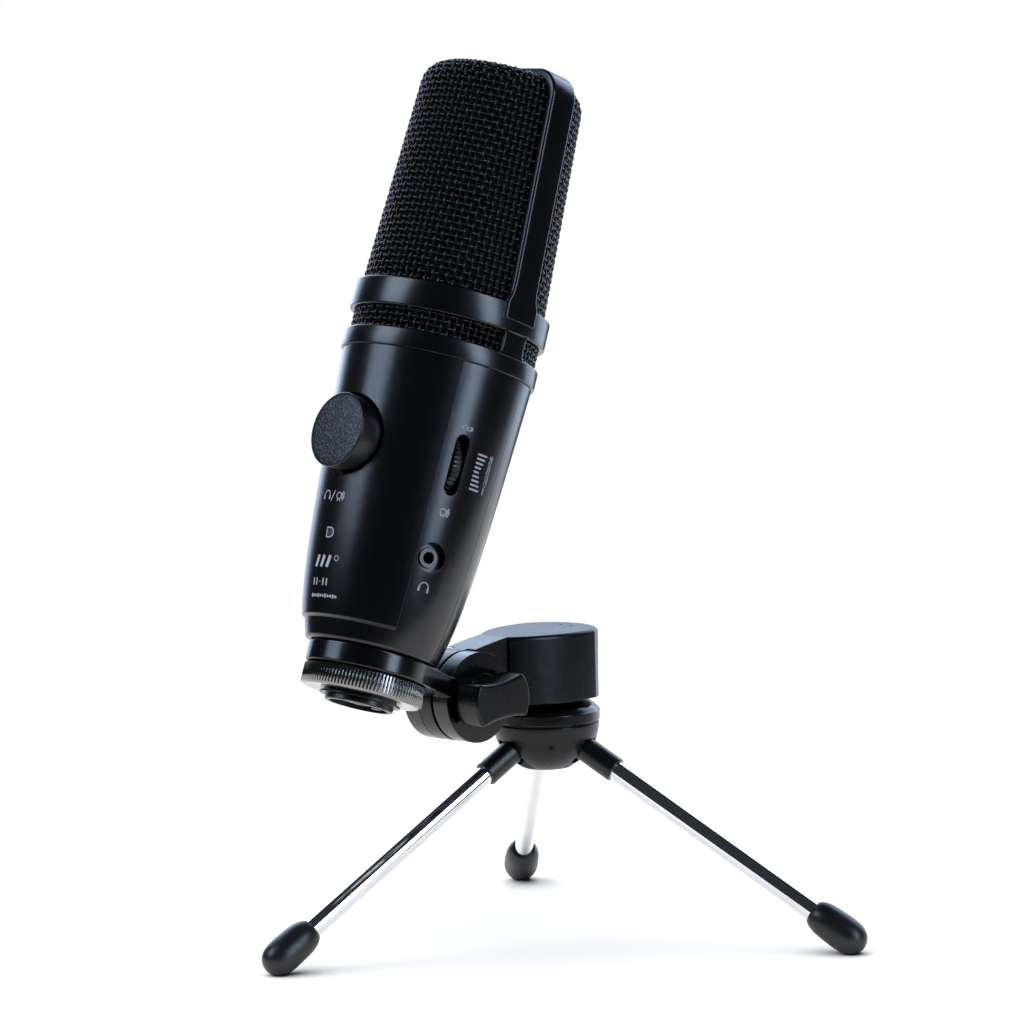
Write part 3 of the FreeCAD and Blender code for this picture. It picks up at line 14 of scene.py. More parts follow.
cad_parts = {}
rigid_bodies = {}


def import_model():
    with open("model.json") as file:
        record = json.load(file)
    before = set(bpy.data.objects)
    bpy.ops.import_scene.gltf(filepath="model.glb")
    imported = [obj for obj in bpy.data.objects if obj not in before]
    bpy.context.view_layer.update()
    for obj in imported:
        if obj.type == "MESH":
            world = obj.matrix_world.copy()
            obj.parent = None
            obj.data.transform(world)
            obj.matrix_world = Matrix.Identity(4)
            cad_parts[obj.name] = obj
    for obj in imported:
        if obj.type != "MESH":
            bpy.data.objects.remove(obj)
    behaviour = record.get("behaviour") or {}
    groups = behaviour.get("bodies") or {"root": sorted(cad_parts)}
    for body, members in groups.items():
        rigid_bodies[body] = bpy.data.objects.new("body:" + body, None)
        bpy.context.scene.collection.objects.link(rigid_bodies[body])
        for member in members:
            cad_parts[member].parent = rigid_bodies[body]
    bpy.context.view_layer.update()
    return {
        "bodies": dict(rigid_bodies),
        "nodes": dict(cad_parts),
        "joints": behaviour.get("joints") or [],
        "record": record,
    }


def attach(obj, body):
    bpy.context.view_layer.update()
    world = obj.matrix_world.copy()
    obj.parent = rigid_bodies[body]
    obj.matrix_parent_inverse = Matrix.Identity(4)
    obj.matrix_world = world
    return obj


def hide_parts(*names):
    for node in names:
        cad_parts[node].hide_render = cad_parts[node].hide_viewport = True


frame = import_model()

MM = 0.001
MERGE = 1e-5
SHARP_ANGLE = 35.0
MICROPHONE = "microphone"
log = logging.getLogger("microphone")

Socket = bpy.types.NodeSocket
Number = float | Socket
Point2 = tuple[float, float]
Colour = tuple[float, float, float]
Inputs = dict[str | int, object]


# ---------------------------------------------------------------- places
class Places:
    """Where things are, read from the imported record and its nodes."""

    def __init__(self, packed: dict) -> None:
        """Reads the joints and finds the microphone's own frame.
        """
        behaviour = packed["record"]["behaviour"]
        self.nodes = packed["nodes"]
        self.joints = {joint["name"]: joint for joint in behaviour["joints"]}
        ring_place, ring_axis = self.joint("ring_turn")
        rough = self.frame_at(ring_place, ring_axis, Vector((1, 0, 0)))
        low, _ = self.span("base_stub", rough)
        self.microphone = self.frame_at(ring_place + ring_axis * low.z * MM, ring_axis, Vector((1, 0, 0)))

    def joint(self, name: str) -> tuple[Vector, Vector]:
        """Place and axis of a joint, in metres."""
        found = self.joints[name]
        return Vector(found["pos_m"]), Vector(found["axis"]).normalized()

    @staticmethod
    def frame_at(origin: Vector, up: Vector, side: Vector) -> Matrix:
        """Frame in millimetres at a point of the part.

        Args:
            origin: The frame's origin, in metres.
            up: Direction of its Z axis.
            side: Direction that its X axis is nearest to.

        Returns:
            Matrix from the frame's millimetres to the part's metres.
        """
        z = up.normalized()
        x = (side - z * side.dot(z)).normalized()
        turn = Matrix((x, z.cross(x), z)).transposed().to_4x4()
        return Matrix.Translation(origin) @ turn @ Matrix.Scale(MM, 4)

    def span(self, node: str, local: Matrix) -> tuple[Vector, Vector]:
        """Lowest and highest corner of a CAD node, measured in a frame.

        Args:
            node: The node's name.
            local: The frame's matrix.

        Returns:
            The two corners in the frame's millimetres.
        """
        back = local.inverted()
        points = [back @ vertex.co for vertex in self.nodes[node].data.vertices]
        low = Vector(min(point[axis] for point in points) for axis in range(3))
        high = Vector(max(point[axis] for point in points) for axis in range(3))
        return low, high


# ---------------------------------------------------------------- shader groups
class ShaderTree:
    """Short way to write a node tree."""

    def __init__(self, tree: bpy.types.NodeTree) -> None:
        """Starts on an empty or a new tree."""
        self.tree = tree

    def node(self, kind: str, inputs: Inputs | None = None, **settings: object) -> bpy.types.Node:
        """Adds a node.

        Args:
            kind: The node's type.
            inputs: Values or sockets for its inputs, by name or number.
            settings: Its properties.

        Returns:
            The new node.
        """
        made = self.tree.nodes.new(kind)
        for name, value in settings.items():
            setattr(made, name, value)
        for key, value in (inputs or {}).items():
            if isinstance(value, Socket):
                self.tree.links.new(value, made.inputs[key])
            else:
                made.inputs[key].default_value = value
        return made

    def math(self, operation: str, *values: Number) -> Socket:
        """Adds a Math node and returns its result."""
        return self.node("ShaderNodeMath", dict(enumerate(values)), operation=operation).outputs[0]

    def spot(self) -> Socket:
        """Place on the piece, in metres of the part."""
        return self.node("ShaderNodeTexCoord").outputs["Object"]

    def ramp(self, value: Socket, low: float, high: float) -> Socket:
        """Stretches the values between low and high to 0..1, smoothly."""
        inputs = {"Value": value, "From Min": low, "From Max": high}
        return self.node("ShaderNodeMapRange", inputs, interpolation_type="SMOOTHSTEP").outputs["Result"]

    def mix(self, share: Number, first: object, second: object) -> Socket:
        """Mixes two colours by a share."""
        made = self.node("ShaderNodeMix", data_type="RGBA")
        for index, value in ((0, share), (6, first), (7, second)):
            if isinstance(value, Socket):
                self.tree.links.new(value, made.inputs[index])
            else:
                made.inputs[index].default_value = value
        return made.outputs[2]


class EffectGroup:
    """A node group that several materials share."""

    def __init__(self, name: str, takes: dict[str, tuple[str, object]], gives: dict[str, str]) -> None:
        """Makes the group's sockets.

        Args:
            name: The group's name.
            takes: Kind and default of each input.
            gives: Kind of each output.
        """
        self.group = bpy.data.node_groups.new(name, "ShaderNodeTree")
        for label, (kind, default) in takes.items():
            made = self.group.interface.new_socket(label, in_out="INPUT", socket_type="NodeSocket" + kind)
            if default is not None:
                made.default_value = default
        for label, kind in gives.items():
            self.group.interface.new_socket(label, in_out="OUTPUT", socket_type="NodeSocket" + kind)
        self.tree = ShaderTree(self.group)
        self.entry = self.tree.node("NodeGroupInput")
        self.leave = self.tree.node("NodeGroupOutput")

    def __getitem__(self, label: str) -> Socket:
        """The inner end of one of the group's inputs."""
        return self.entry.outputs[label]

    def give(self, label: str, value: Socket) -> None:
        """Links a value to one of the group's outputs."""
        self.group.links.new(value, self.leave.inputs[label])


class Effects:
    """The shared effects: soft edges with wear and a painted highlight, grain, handling marks, streaks,
    flakes and fine mesh.
    """

    def __init__(self) -> None:
        """Makes every group once."""
        self.edges = self._soft_edges()
        self.grain = self._grain()
        self.handling = self._handling()
        self.streaks = self._streaks()
        self.flakes = self._flakes()
        self.fine_mesh = self._fine_mesh()

    @staticmethod
    def _soft_edges() -> bpy.types.NodeTree:
        """Rounded normal near edges, and a mask that is 1 on an edge, where wear and a painted highlight
        show.
        """
        g = EffectGroup("soft edges with wear and painted highlight", {"Radius": ("Float", 0.0003), "Patch Size": ("Float", 900.0)},
                        {"Normal": "Vector", "Edge": "Float"})
        t = g.tree
        bevel = t.node("ShaderNodeBevel", {"Radius": g["Radius"]}, samples=4)
        place = t.node("ShaderNodeNewGeometry")
        dot = t.node("ShaderNodeVectorMath", {0: bevel.outputs[0], 1: place.outputs["Normal"]},
                     operation="DOT_PRODUCT")
        bent = t.ramp(t.math("SUBTRACT", 1.0, dot.outputs["Value"]), 0.015, 0.20)
        spot = t.spot()
        edge_patches = t.node("ShaderNodeTexNoise", {"Vector": spot, "Scale": g["Patch Size"], "Detail": 3.0})
        # patches along the edges where the edge colour shows: wear, and a painted highlight
        wear_and_highlight = t.ramp(edge_patches.outputs["Fac"], 0.36, 0.66)
        g.give("Normal", bevel.outputs[0])
        g.give("Edge", t.math("MULTIPLY", bent, t.math("MULTIPLY_ADD", wear_and_highlight, 0.6, 0.4)))
        return g.group

    @staticmethod
    def _grain() -> bpy.types.NodeTree:
        """Pebbled height of moulded plastic, blasted metal or paint."""
        g = EffectGroup("moulded grain", {"Size": ("Float", 3000.0)}, {"Height": "Float", "Pits": "Float"})
        t = g.tree
        spot = t.spot()
        cells = t.node("ShaderNodeTexVoronoi", {"Vector": spot, "Scale": g["Size"]}, feature="SMOOTH_F1")
        fine = t.node("ShaderNodeTexNoise", {"Vector": spot, "Scale": t.math("MULTIPLY", g["Size"], 1.7)})
        height = t.math("ADD", cells.outputs["Distance"], t.math("MULTIPLY", fine.outputs["Fac"], 0.6))
        g.give("Height", height)
        g.give("Pits", t.ramp(cells.outputs["Distance"], 0.15, 0.6))
        return g.group

    @staticmethod
    def _handling() -> bpy.types.NodeTree:
        """Slow changes of gloss and shade from moulding and from hands."""
        g = EffectGroup("handling marks", {"Size": ("Float", 60.0)}, {"Gloss": "Float", "Shade": "Float"})
        t = g.tree
        spot = t.spot()
        slow = t.node("ShaderNodeTexNoise", {"Vector": spot, "Scale": g["Size"], "Detail": 4.0,
                                             "Roughness": 0.6})
        smears = t.node("ShaderNodeTexNoise", {"Vector": spot, "Scale": t.math("MULTIPLY", g["Size"], 6.0),
                                               "Detail": 2.0, "Distortion": 1.5})
        most = t.math("MULTIPLY", slow.outputs["Fac"], 0.6)
        both = t.math("MULTIPLY_ADD", smears.outputs["Fac"], 0.4, most)
        g.give("Gloss", t.ramp(both, 0.3, 0.7))
        g.give("Shade", slow.outputs["Fac"])
        return g.group

    @staticmethod
    def _streaks() -> bpy.types.NodeTree:
        """Fine drawing lines along one axis of the part."""
        g = EffectGroup("drawn streaks", {"Stretch": ("Vector", (1.0, 1.0, 0.02)), "Size": ("Float", 4000.0)},
                        {"Height": "Float"})
        t = g.tree
        spot = t.spot()
        drawn = t.node("ShaderNodeVectorMath", {0: spot, 1: g["Stretch"]}, operation="MULTIPLY")
        lines = t.node("ShaderNodeTexNoise", {"Vector": drawn.outputs[0], "Scale": g["Size"], "Detail": 2.0})
        g.give("Height", lines.outputs["Fac"])
        return g.group

    @staticmethod
    def _flakes() -> bpy.types.NodeTree:
        """Small flakes that catch the light one by one."""
        g = EffectGroup("paint flakes", {"Size": ("Float", 4500.0)}, {"Flake": "Float"})
        t = g.tree
        spot = t.spot()
        cells = t.node("ShaderNodeTexVoronoi", {"Vector": spot, "Scale": g["Size"]})
        split = t.node("ShaderNodeSeparateColor", {0: cells.outputs["Color"]})
        g.give("Flake", t.ramp(split.outputs[0], 0.62, 0.95))
        return g.group

    @staticmethod
    def _fine_mesh() -> bpy.types.NodeTree:
        """Two crossed families of fine wires."""
        g = EffectGroup("fine mesh", {"Size": ("Float", 900.0)}, {"Height": "Float"})
        t = g.tree
        spot = t.spot()
        bands = []
        for stretch in ((1.0, 1.0, 0.35), (0.35, 0.35, 1.0)):
            drawn = t.node("ShaderNodeVectorMath", {0: spot, 1: stretch}, operation="MULTIPLY")
            split = t.node("ShaderNodeSeparateXYZ", {0: drawn.outputs[0]})
            run = t.math("ADD", t.math("ADD", split.outputs[0], split.outputs[1]), split.outputs[2])
            phase = t.math("MULTIPLY", run, t.math("MULTIPLY", g["Size"], 3.0))
            bands.append(t.math("ABSOLUTE", t.math("SINE", phase)))
        g.give("Height", t.math("MULTIPLY", bands[0], bands[1]))
        return g.group


# ---------------------------------------------------------------- finishes
class Pattern(Enum):
    """What a finish has on top of its plain colour."""

    SMOOTH = "smooth"
    GRAINED = "grained"
    FLAKED = "flaked"
    DRAWN = "drawn"
    MESH = "mesh"


@dataclass(frozen=True)
class Finish:
    """One surface finish, with the values that its material is made from.

    The colours are linear. Lengths are in millimetres. The shades are shares of the colour: the darkest and
    the lightest of its slow changes, of a bright flake, and of the gaps in a fine mesh, whose darkness is a
    painted shade of the inside seen through them. The edge colour shows wear and a painted highlight.
    """

    colour: Colour
    metallic: float = 0.0
    roughness: float = 0.45
    gloss_change: float = 0.08
    pattern: Pattern = Pattern.SMOOTH
    pattern_size: float = 0.3
    pattern_depth: float = 0.01
    edge_radius: float = 0.25
    edge_colour: Colour = (0.02, 0.02, 0.022)
    edge_share: float = 0.35
    transmission: float = 0.0
    specular: float = 0.5
    shades: tuple[float, float] = (0.86, 1.14)
    flake_shade: float = 9.0
    flake_share: float = 0.8
    gap_painted_shade: float = 0.25
    least_roughness: float = 0.02

    def material(self, name: str, effects: Effects) -> bpy.types.Material:
        """Builds the material.

        Args:
            name: The material's name.
            effects: The shared node groups.

        Returns:
            The material.
        """
        made = bpy.data.materials.new(name)
        made.use_nodes = True
        made.node_tree.nodes.clear()
        t = ShaderTree(made.node_tree)
        edges = self._group(t, effects.edges, {"Radius": self.edge_radius * MM})
        handling = self._group(t, effects.handling, {})
        base = t.mix(handling.outputs["Shade"], *map(self._shade, self.shades))
        height, accent = self._pattern(t, effects)
        if self.pattern is Pattern.FLAKED:
            base = t.mix(t.math("MULTIPLY", accent, self.flake_share), base, self._shade(self.flake_shade))
        elif self.pattern is Pattern.MESH:
            # the gaps of a fine mesh are darker: a painted shade of the inside seen through them
            base = t.mix(accent, self._shade(self.gap_painted_shade), base)
        # near edges the colour turns to the edge colour: partly wear, partly a painted highlight
        wear_and_highlight = t.math("MULTIPLY", edges.outputs["Edge"], self.edge_share)
        colour = t.mix(wear_and_highlight, base, (*self.edge_colour, 1.0))
        low = max(self.least_roughness, self.roughness - self.gloss_change)
        rough = t.node("ShaderNodeMapRange", {"Value": handling.outputs["Gloss"], "To Min": low,
                                              "To Max": self.roughness + self.gloss_change})
        shader = t.node("ShaderNodeBsdfPrincipled", {
            "Base Color": colour, "Metallic": self.metallic, "Roughness": rough.outputs["Result"],
            "Transmission Weight": self.transmission, "Specular IOR Level": self.specular})
        normal = edges.outputs["Normal"]
        if height is not None:
            bump = t.node("ShaderNodeBump", {"Height": height, "Normal": normal, "Strength": 1.0,
                                             "Distance": self.pattern_depth * MM})
            normal = bump.outputs["Normal"]
        made.node_tree.links.new(normal, shader.inputs["Normal"])
        t.node("ShaderNodeOutputMaterial", {"Surface": shader.outputs[0]})
        return made

    def _shade(self, factor: float) -> tuple[float, float, float, float]:
        """The finish's colour made darker or lighter."""
        return (*(min(1.0, channel * factor) for channel in self.colour), 1.0)

    @staticmethod
    def _group(t: ShaderTree, group: bpy.types.NodeTree, inputs: dict[str, object]) -> bpy.types.Node:
        """Places a shared group in the material."""
        made = t.node("ShaderNodeGroup", node_tree=group)
        for label, value in inputs.items():
            made.inputs[label].default_value = value
        return made

    def _pattern(self, t: ShaderTree, effects: Effects) -> tuple[Socket | None, Socket | None]:
        """Height and accent mask of the finish's pattern, or None where it has none."""
        size = 1.0 / (self.pattern_size * MM)
        if self.pattern is Pattern.GRAINED:
            made = self._group(t, effects.grain, {"Size": size})
            return made.outputs["Height"], made.outputs["Pits"]
        if self.pattern is Pattern.FLAKED:
            grain = self._group(t, effects.grain, {"Size": size})
            flakes = self._group(t, effects.flakes, {"Size": size})
            return grain.outputs["Height"], flakes.outputs["Flake"]
        if self.pattern is Pattern.DRAWN:
            made = self._group(t, effects.streaks, {"Size": size})
            return made.outputs["Height"], None
        if self.pattern is Pattern.MESH:
            made = self._group(t, effects.fine_mesh, {"Size": size})
            return made.outputs["Height"], made.outputs["Height"]
        return None, None


BLUE_BLACK = (0.0006, 0.0008, 0.0012)
# lighter blue for the body's edges: wear, and a painted highlight where the edges catch the light
EDGE_WEAR_AND_HIGHLIGHT_BLUE = (0.006, 0.008, 0.011)
FINISHES = {
    "satin_body": Finish(BLUE_BLACK, 0.0, 0.25, 0.02, Pattern.GRAINED, 0.16, 0.003, 0.35, EDGE_WEAR_AND_HIGHLIGHT_BLUE, 0.3),
    "satin_frame": Finish(BLUE_BLACK, 0.0, 0.25, 0.02, Pattern.GRAINED, 0.16, 0.003, 0.30, EDGE_WEAR_AND_HIGHLIGHT_BLUE, 0.3),
    "grille_wire": Finish((0.0008, 0.0008, 0.0009), 0.0, 0.33, 0.04, Pattern.GRAINED, 0.12, 0.003, 0.05),
    "fine_mesh": Finish((0.0004, 0.0004, 0.0004), 0.0, 0.8, 0.05, Pattern.MESH, 0.6, 0.1, 0.05),
    "knob_metal": Finish((0.0012, 0.0016, 0.0022), 0.0, 0.34, 0.04, Pattern.GRAINED, 0.12, 0.003, 0.25,
                         (0.04, 0.045, 0.055), 0.4),
    "knob_face": Finish((0.0045, 0.0058, 0.0080), 0.0, 0.42, 0.05, Pattern.FLAKED, 0.42, 0.10, 0.1),
    "ring_plastic": Finish((0.0008, 0.0008, 0.0011), 0.0, 0.20, 0.04, Pattern.GRAINED, 0.5, 0.002, 0.35,
                           (0.012, 0.012, 0.014), 0.3),
    "knurled_nickel": Finish((0.24, 0.235, 0.23), 1.0, 0.20, 0.06, Pattern.GRAINED, 0.15, 0.003, 0.12,
                             (0.6, 0.6, 0.6), 0.4),
    "stub_metal": Finish((0.0015, 0.0015, 0.0018), 0.0, 0.3, 0.05, Pattern.DRAWN, 0.15, 0.004, 0.2),
    "bright_plate": Finish((0.78, 0.78, 0.79), 1.0, 0.25, 0.08, Pattern.DRAWN, 0.2, 0.004, 0.15,
                           (0.9, 0.9, 0.9), 0.4),
    "steel": Finish((0.42, 0.42, 0.43), 1.0, 0.3, 0.1, Pattern.GRAINED, 0.2, 0.004, 0.12,
                    (0.75, 0.75, 0.76), 0.5),
    "black_oxide": Finish((0.002, 0.002, 0.002), 0.0, 0.4, 0.05, Pattern.GRAINED, 0.2, 0.003, 0.05),
    "socket_shell": Finish((0.60, 0.60, 0.61), 1.0, 0.3, 0.08, Pattern.DRAWN, 0.2, 0.003, 0.15),
    "grained_plastic": Finish((0.0012, 0.0014, 0.0018), 0.0, 0.28, 0.03, Pattern.GRAINED, 0.30, 0.005, 0.45,
                              (0.010, 0.011, 0.013), 0.3, specular=0.32),
    "gloss_cap": Finish((0.0008, 0.0009, 0.0012), 0.0, 0.20, 0.04, Pattern.GRAINED, 0.5, 0.002, 0.35,
                        (0.012, 0.012, 0.014), 0.3, specular=0.45),
    "sleeve_plastic": Finish((0.0012, 0.0014, 0.0018), 0.0, 0.33, 0.05, Pattern.GRAINED, 0.30, 0.005, 0.35,
                             (0.010, 0.011, 0.013), 0.3, specular=0.45),
    "leg_chrome": Finish((0.78, 0.78, 0.80), 1.0, 0.06, 0.02, Pattern.DRAWN, 0.4, 0.0008, 0.1,
                         (0.9, 0.9, 0.9), 0.2),
    "foot_rubber": Finish((0.0014, 0.0016, 0.0020), 0.0, 0.38, 0.05, Pattern.GRAINED, 0.35, 0.005, 0.3,
                          (0.014, 0.014, 0.015), 0.25),
    "wheel_plastic": Finish((0.0010, 0.0010, 0.0012), 0.0, 0.33, 0.05, Pattern.GRAINED, 0.2, 0.004, 0.15),
    "jack_plastic": Finish((0.0010, 0.0010, 0.0012), 0.0, 0.22, 0.04, Pattern.GRAINED, 0.2, 0.002, 0.3,
                           (0.35, 0.35, 0.37), 1.0),
    "board": Finish((0.012, 0.075, 0.035), 0.0, 0.35, 0.05, Pattern.GRAINED, 0.6, 0.01, 0.1),
    "black_plastic": Finish((0.006, 0.006, 0.006), 0.0, 0.5, 0.05, Pattern.GRAINED, 0.3, 0.006, 0.2),
    "brass": Finish((0.62, 0.42, 0.16), 1.0, 0.28, 0.08, Pattern.DRAWN, 0.2, 0.003, 0.15,
                    (0.85, 0.65, 0.3), 0.4),
    "gold_film": Finish((0.75, 0.55, 0.2), 1.0, 0.15, 0.05, Pattern.GRAINED, 0.4, 0.002, 0.05),
    "cradle_rubber": Finish((0.006, 0.006, 0.006), 0.0, 0.6, 0.05, Pattern.GRAINED, 0.3, 0.01, 0.3),
    "lens": Finish((0.05, 0.055, 0.065), 0.0, 0.12, 0.04, Pattern.GRAINED, 0.5, 0.002, 0.2,
                   (0.2, 0.2, 0.22), 0.4, transmission=0.3),
    "nylon": Finish((0.62, 0.61, 0.57), 0.0, 0.45, 0.05, Pattern.GRAINED, 0.4, 0.004, 0.2,
                    (0.7, 0.7, 0.66), 0.3),
}
INK_GREY = (0.26, 0.28, 0.31)
PRINT_INK = Finish(INK_GREY, 0.0, 0.5, 0.05, Pattern.GRAINED, 0.2, 0.002, 0.02, INK_GREY, 0.0)


class Workshop:
    """Keeps the materials and turns meshes into pieces of the object."""

    def __init__(self) -> None:
        """Makes the shared groups and one material for each finish."""
        self.effects = Effects()
        self.materials = {slot: finish.material(slot, self.effects) for slot, finish in FINISHES.items()}
        self.ink = PRINT_INK.material("print_ink", self.effects)

    def piece(self, name: str, mesh: bpy.types.Mesh, place: Matrix, body: str, slot: str | None,
              replaced: Sequence[str] = (), finish: bpy.types.Material | None = None) -> bpy.types.Object:
        """Adds a finished mesh to the object.

        Args:
            name: The piece's name.
            mesh: Its mesh, in millimetres of the given frame.
            place: The frame's matrix.
            body: The CAD body that it moves with.
            slot: The record's material slot.
            replaced: CAD nodes that it stands for.
            finish: Its material, where it isn't the slot's own.

        Returns:
            The new object.
        """
        mesh.transform(place)
        mesh.name = name
        mesh.materials.clear()
        mesh.materials.append(finish or self.materials[slot])
        made = bpy.data.objects.new(name, mesh)
        bpy.context.scene.collection.objects.link(made)
        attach(made, body)
        if replaced:
            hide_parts(*replaced)
        log.info("%s: %d faces on %s", name, len(mesh.polygons), body)
        return made

    def dress(self, packed: dict) -> None:
        """Gives every CAD node the material of its slot."""
        for part in packed["record"]["subparts"]:
            mesh = packed["nodes"][part["node"]].data
            for index in range(len(mesh.materials)):
                mesh.materials[index] = self.materials[part["material_slot"]]


# ---------------------------------------------------------------- mesh helpers
def rounded(corners: Sequence[tuple[float, float, float]], steps: int = 4) -> list[Point2]:
    """Closed outline with a round at each corner.

    Args:
        corners: (x, y, radius) of each corner, in order.
        steps: Segments in each round.

    Returns:
        The outline's points.
    """
    points: list[Point2] = []
    count = len(corners)
    for index, (x, y, radius) in enumerate(corners):
        here = Vector((x, y))
        before = Vector(corners[index - 1][:2]) - here
        after = Vector(corners[(index + 1) % count][:2]) - here
        if radius <= 0.0:
            points.append((x, y))
            continue
        before.normalize()
        after.normalize()
        half = before.angle(after) / 2
        setback = radius / math.tan(half)
        centre = here + (before + after).normalized() * (radius / math.sin(half))
        start = here + before * setback - centre
        turn = start.angle_signed(here + after * setback - centre)
        for step in range(steps + 1):
            angle = -turn * step / steps
            cos, sin = math.cos(angle), math.sin(angle)
            x, y = start.x * cos - start.y * sin, start.x * sin + start.y * cos
            points.append((centre.x + x, centre.y + y))
    return points


def finished(shape: bmesh.types.BMesh) -> bpy.types.Mesh:
    """Cleans a mesh, turns its faces outwards and shades it smoothly between sharp edges.

    Args:
        shape: The mesh being edited, which is freed.

    Returns:
        The finished mesh.
    """
    bmesh.ops.remove_doubles(shape, verts=shape.verts, dist=MERGE)
    bmesh.ops.recalc_face_normals(shape, faces=shape.faces)
    for face in shape.faces:
        face.smooth = True
    for edge in shape.edges:
        edge.smooth = edge.is_manifold and edge.calc_face_angle(0.0) < math.radians(SHARP_ANGLE)
    mesh = bpy.data.meshes.new("mesh")
    shape.to_mesh(mesh)
    shape.free()
    return mesh


def turned(outline: Sequence[Point2], segments: int = 128) -> bpy.types.Mesh:
    """Solid turned about Z from a closed outline of (radius, height) points."""
    shape = bmesh.new()
    rings = []
    for step in range(segments):
        angle = 2 * math.pi * step / segments
        cos, sin = math.cos(angle), math.sin(angle)
        rings.append([shape.verts.new((r * cos, r * sin, z)) for r, z in outline])
    for step in range(segments):
        this, following = rings[step], rings[(step + 1) % segments]
        for index in range(len(outline)):
            near, far = index, (index + 1) % len(outline)
            if max(outline[near][0], outline[far][0]) > MERGE:
                shape.faces.new((this[near], following[near], following[far], this[far]))
    return finished(shape)


def swept(sections: Sequence[Sequence[Vector]]) -> bpy.types.Mesh:
    """Solid through closed sections with the same number of points, capped at both ends."""
    shape = bmesh.new()
    rings = [[shape.verts.new(point) for point in section] for section in sections]
    count = len(rings[0])
    for this, following in zip(rings, rings[1:]):
        for index in range(count):
            far = (index + 1) % count
            shape.faces.new((this[index], this[far], following[far], following[index]))
    shape.faces.new(rings[0])
    shape.faces.new(list(reversed(rings[-1])))
    return finished(shape)


def together(meshes: Sequence[bpy.types.Mesh]) -> bpy.types.Mesh:
    """Joins several meshes into one, each keeping its own closed surface."""
    shape = bmesh.new()
    for mesh in meshes:
        shape.from_mesh(mesh)
    joined = bpy.data.meshes.new("mesh")
    shape.to_mesh(joined)
    shape.free()
    return joined


# ---------------------------------------------------------------- growing repeated things
class Growth(ShaderTree):
    """Short way to write a Geometry Nodes tree and to grow a mesh with it."""

    def __init__(self, name: str, inputs: dict[str, int | float]) -> None:
        """Makes the tree with its named inputs.

        Args:
            name: The tree's name.
            inputs: Default of each size or count.
        """
        super().__init__(bpy.data.node_groups.new(name, "GeometryNodeTree"))
        face = self.tree.interface
        face.new_socket("Core", in_out="INPUT", socket_type="NodeSocketGeometry")
        for label, default in inputs.items():
            kind = "NodeSocketInt" if isinstance(default, int) else "NodeSocketFloat"
            face.new_socket(label, in_out="INPUT", socket_type=kind).default_value = default
        face.new_socket("Finish", in_out="INPUT", socket_type="NodeSocketMaterial")
        face.new_socket("Grown", in_out="OUTPUT", socket_type="NodeSocketGeometry")
        self.entry = self.node("NodeGroupInput")
        self.leave = self.node("NodeGroupOutput")

    def __getitem__(self, label: str) -> Socket:
        """One of the tree's inputs."""
        return self.entry.outputs[label]

    def close(self, shapes: Sequence[Socket]) -> None:
        """Ends the tree: joins the shapes, realizes instances, shades them and sets the material."""
        joined = self.node("GeometryNodeJoinGeometry")
        for shape in shapes:
            self.tree.links.new(shape, joined.inputs[0])
        real = self.node("GeometryNodeRealizeInstances", {0: joined.outputs[0]})
        smooth = self.node("GeometryNodeSetShadeSmooth", {0: real.outputs[0]})
        done = self.node("GeometryNodeSetMaterial", {0: smooth.outputs[0], "Material": self["Finish"]})
        self.tree.links.new(done.outputs[0], self.leave.inputs[0])

    def grow(self, values: dict[str, int | float], core: bpy.types.Mesh | None = None) -> bpy.types.Mesh:
        """Runs the tree once.

        Args:
            values: Inputs that differ from their defaults.
            core: A mesh that the tree adds to.

        Returns:
            The grown mesh, in millimetres.
        """
        holder = bpy.data.objects.new("holder", core or bpy.data.meshes.new("empty"))
        bpy.context.scene.collection.objects.link(holder)
        modifier = holder.modifiers.new("growth", "NODES")
        modifier.node_group = self.tree
        for item in self.tree.interface.items_tree:
            if item.item_type == "SOCKET" and item.in_out == "INPUT" and item.name in values:
                modifier[item.identifier] = values[item.name]
        graph = bpy.context.evaluated_depsgraph_get()
        mesh = bpy.data.meshes.new_from_object(holder.evaluated_get(graph), depsgraph=graph)
        holder.modifiers.clear()
        bpy.data.objects.remove(holder)
        return mesh


def weave_tree() -> Growth:
    """Tree of a woven wire cloth on a tapered round wall whose top is bent in.

    Upright and level wires pass over and under each other. Angles are in radians about Z from -Y.
    """
    g = Growth("woven wire cloth", {
        "Upright Wires": 30, "Level Wires": 40, "Samples": 4, "Base Radius": 28.0, "Base Height": 0.0,
        "Taper": 0.06, "Side": 60.0, "Corner": 7.0, "Length": 80.0, "Half Turn": 1.45, "Edge": 3.0,
        "Wire Radius": 0.42, "Wave": 0.36})
    g.close([_wires(g, True), _wires(g, False)])
    return g


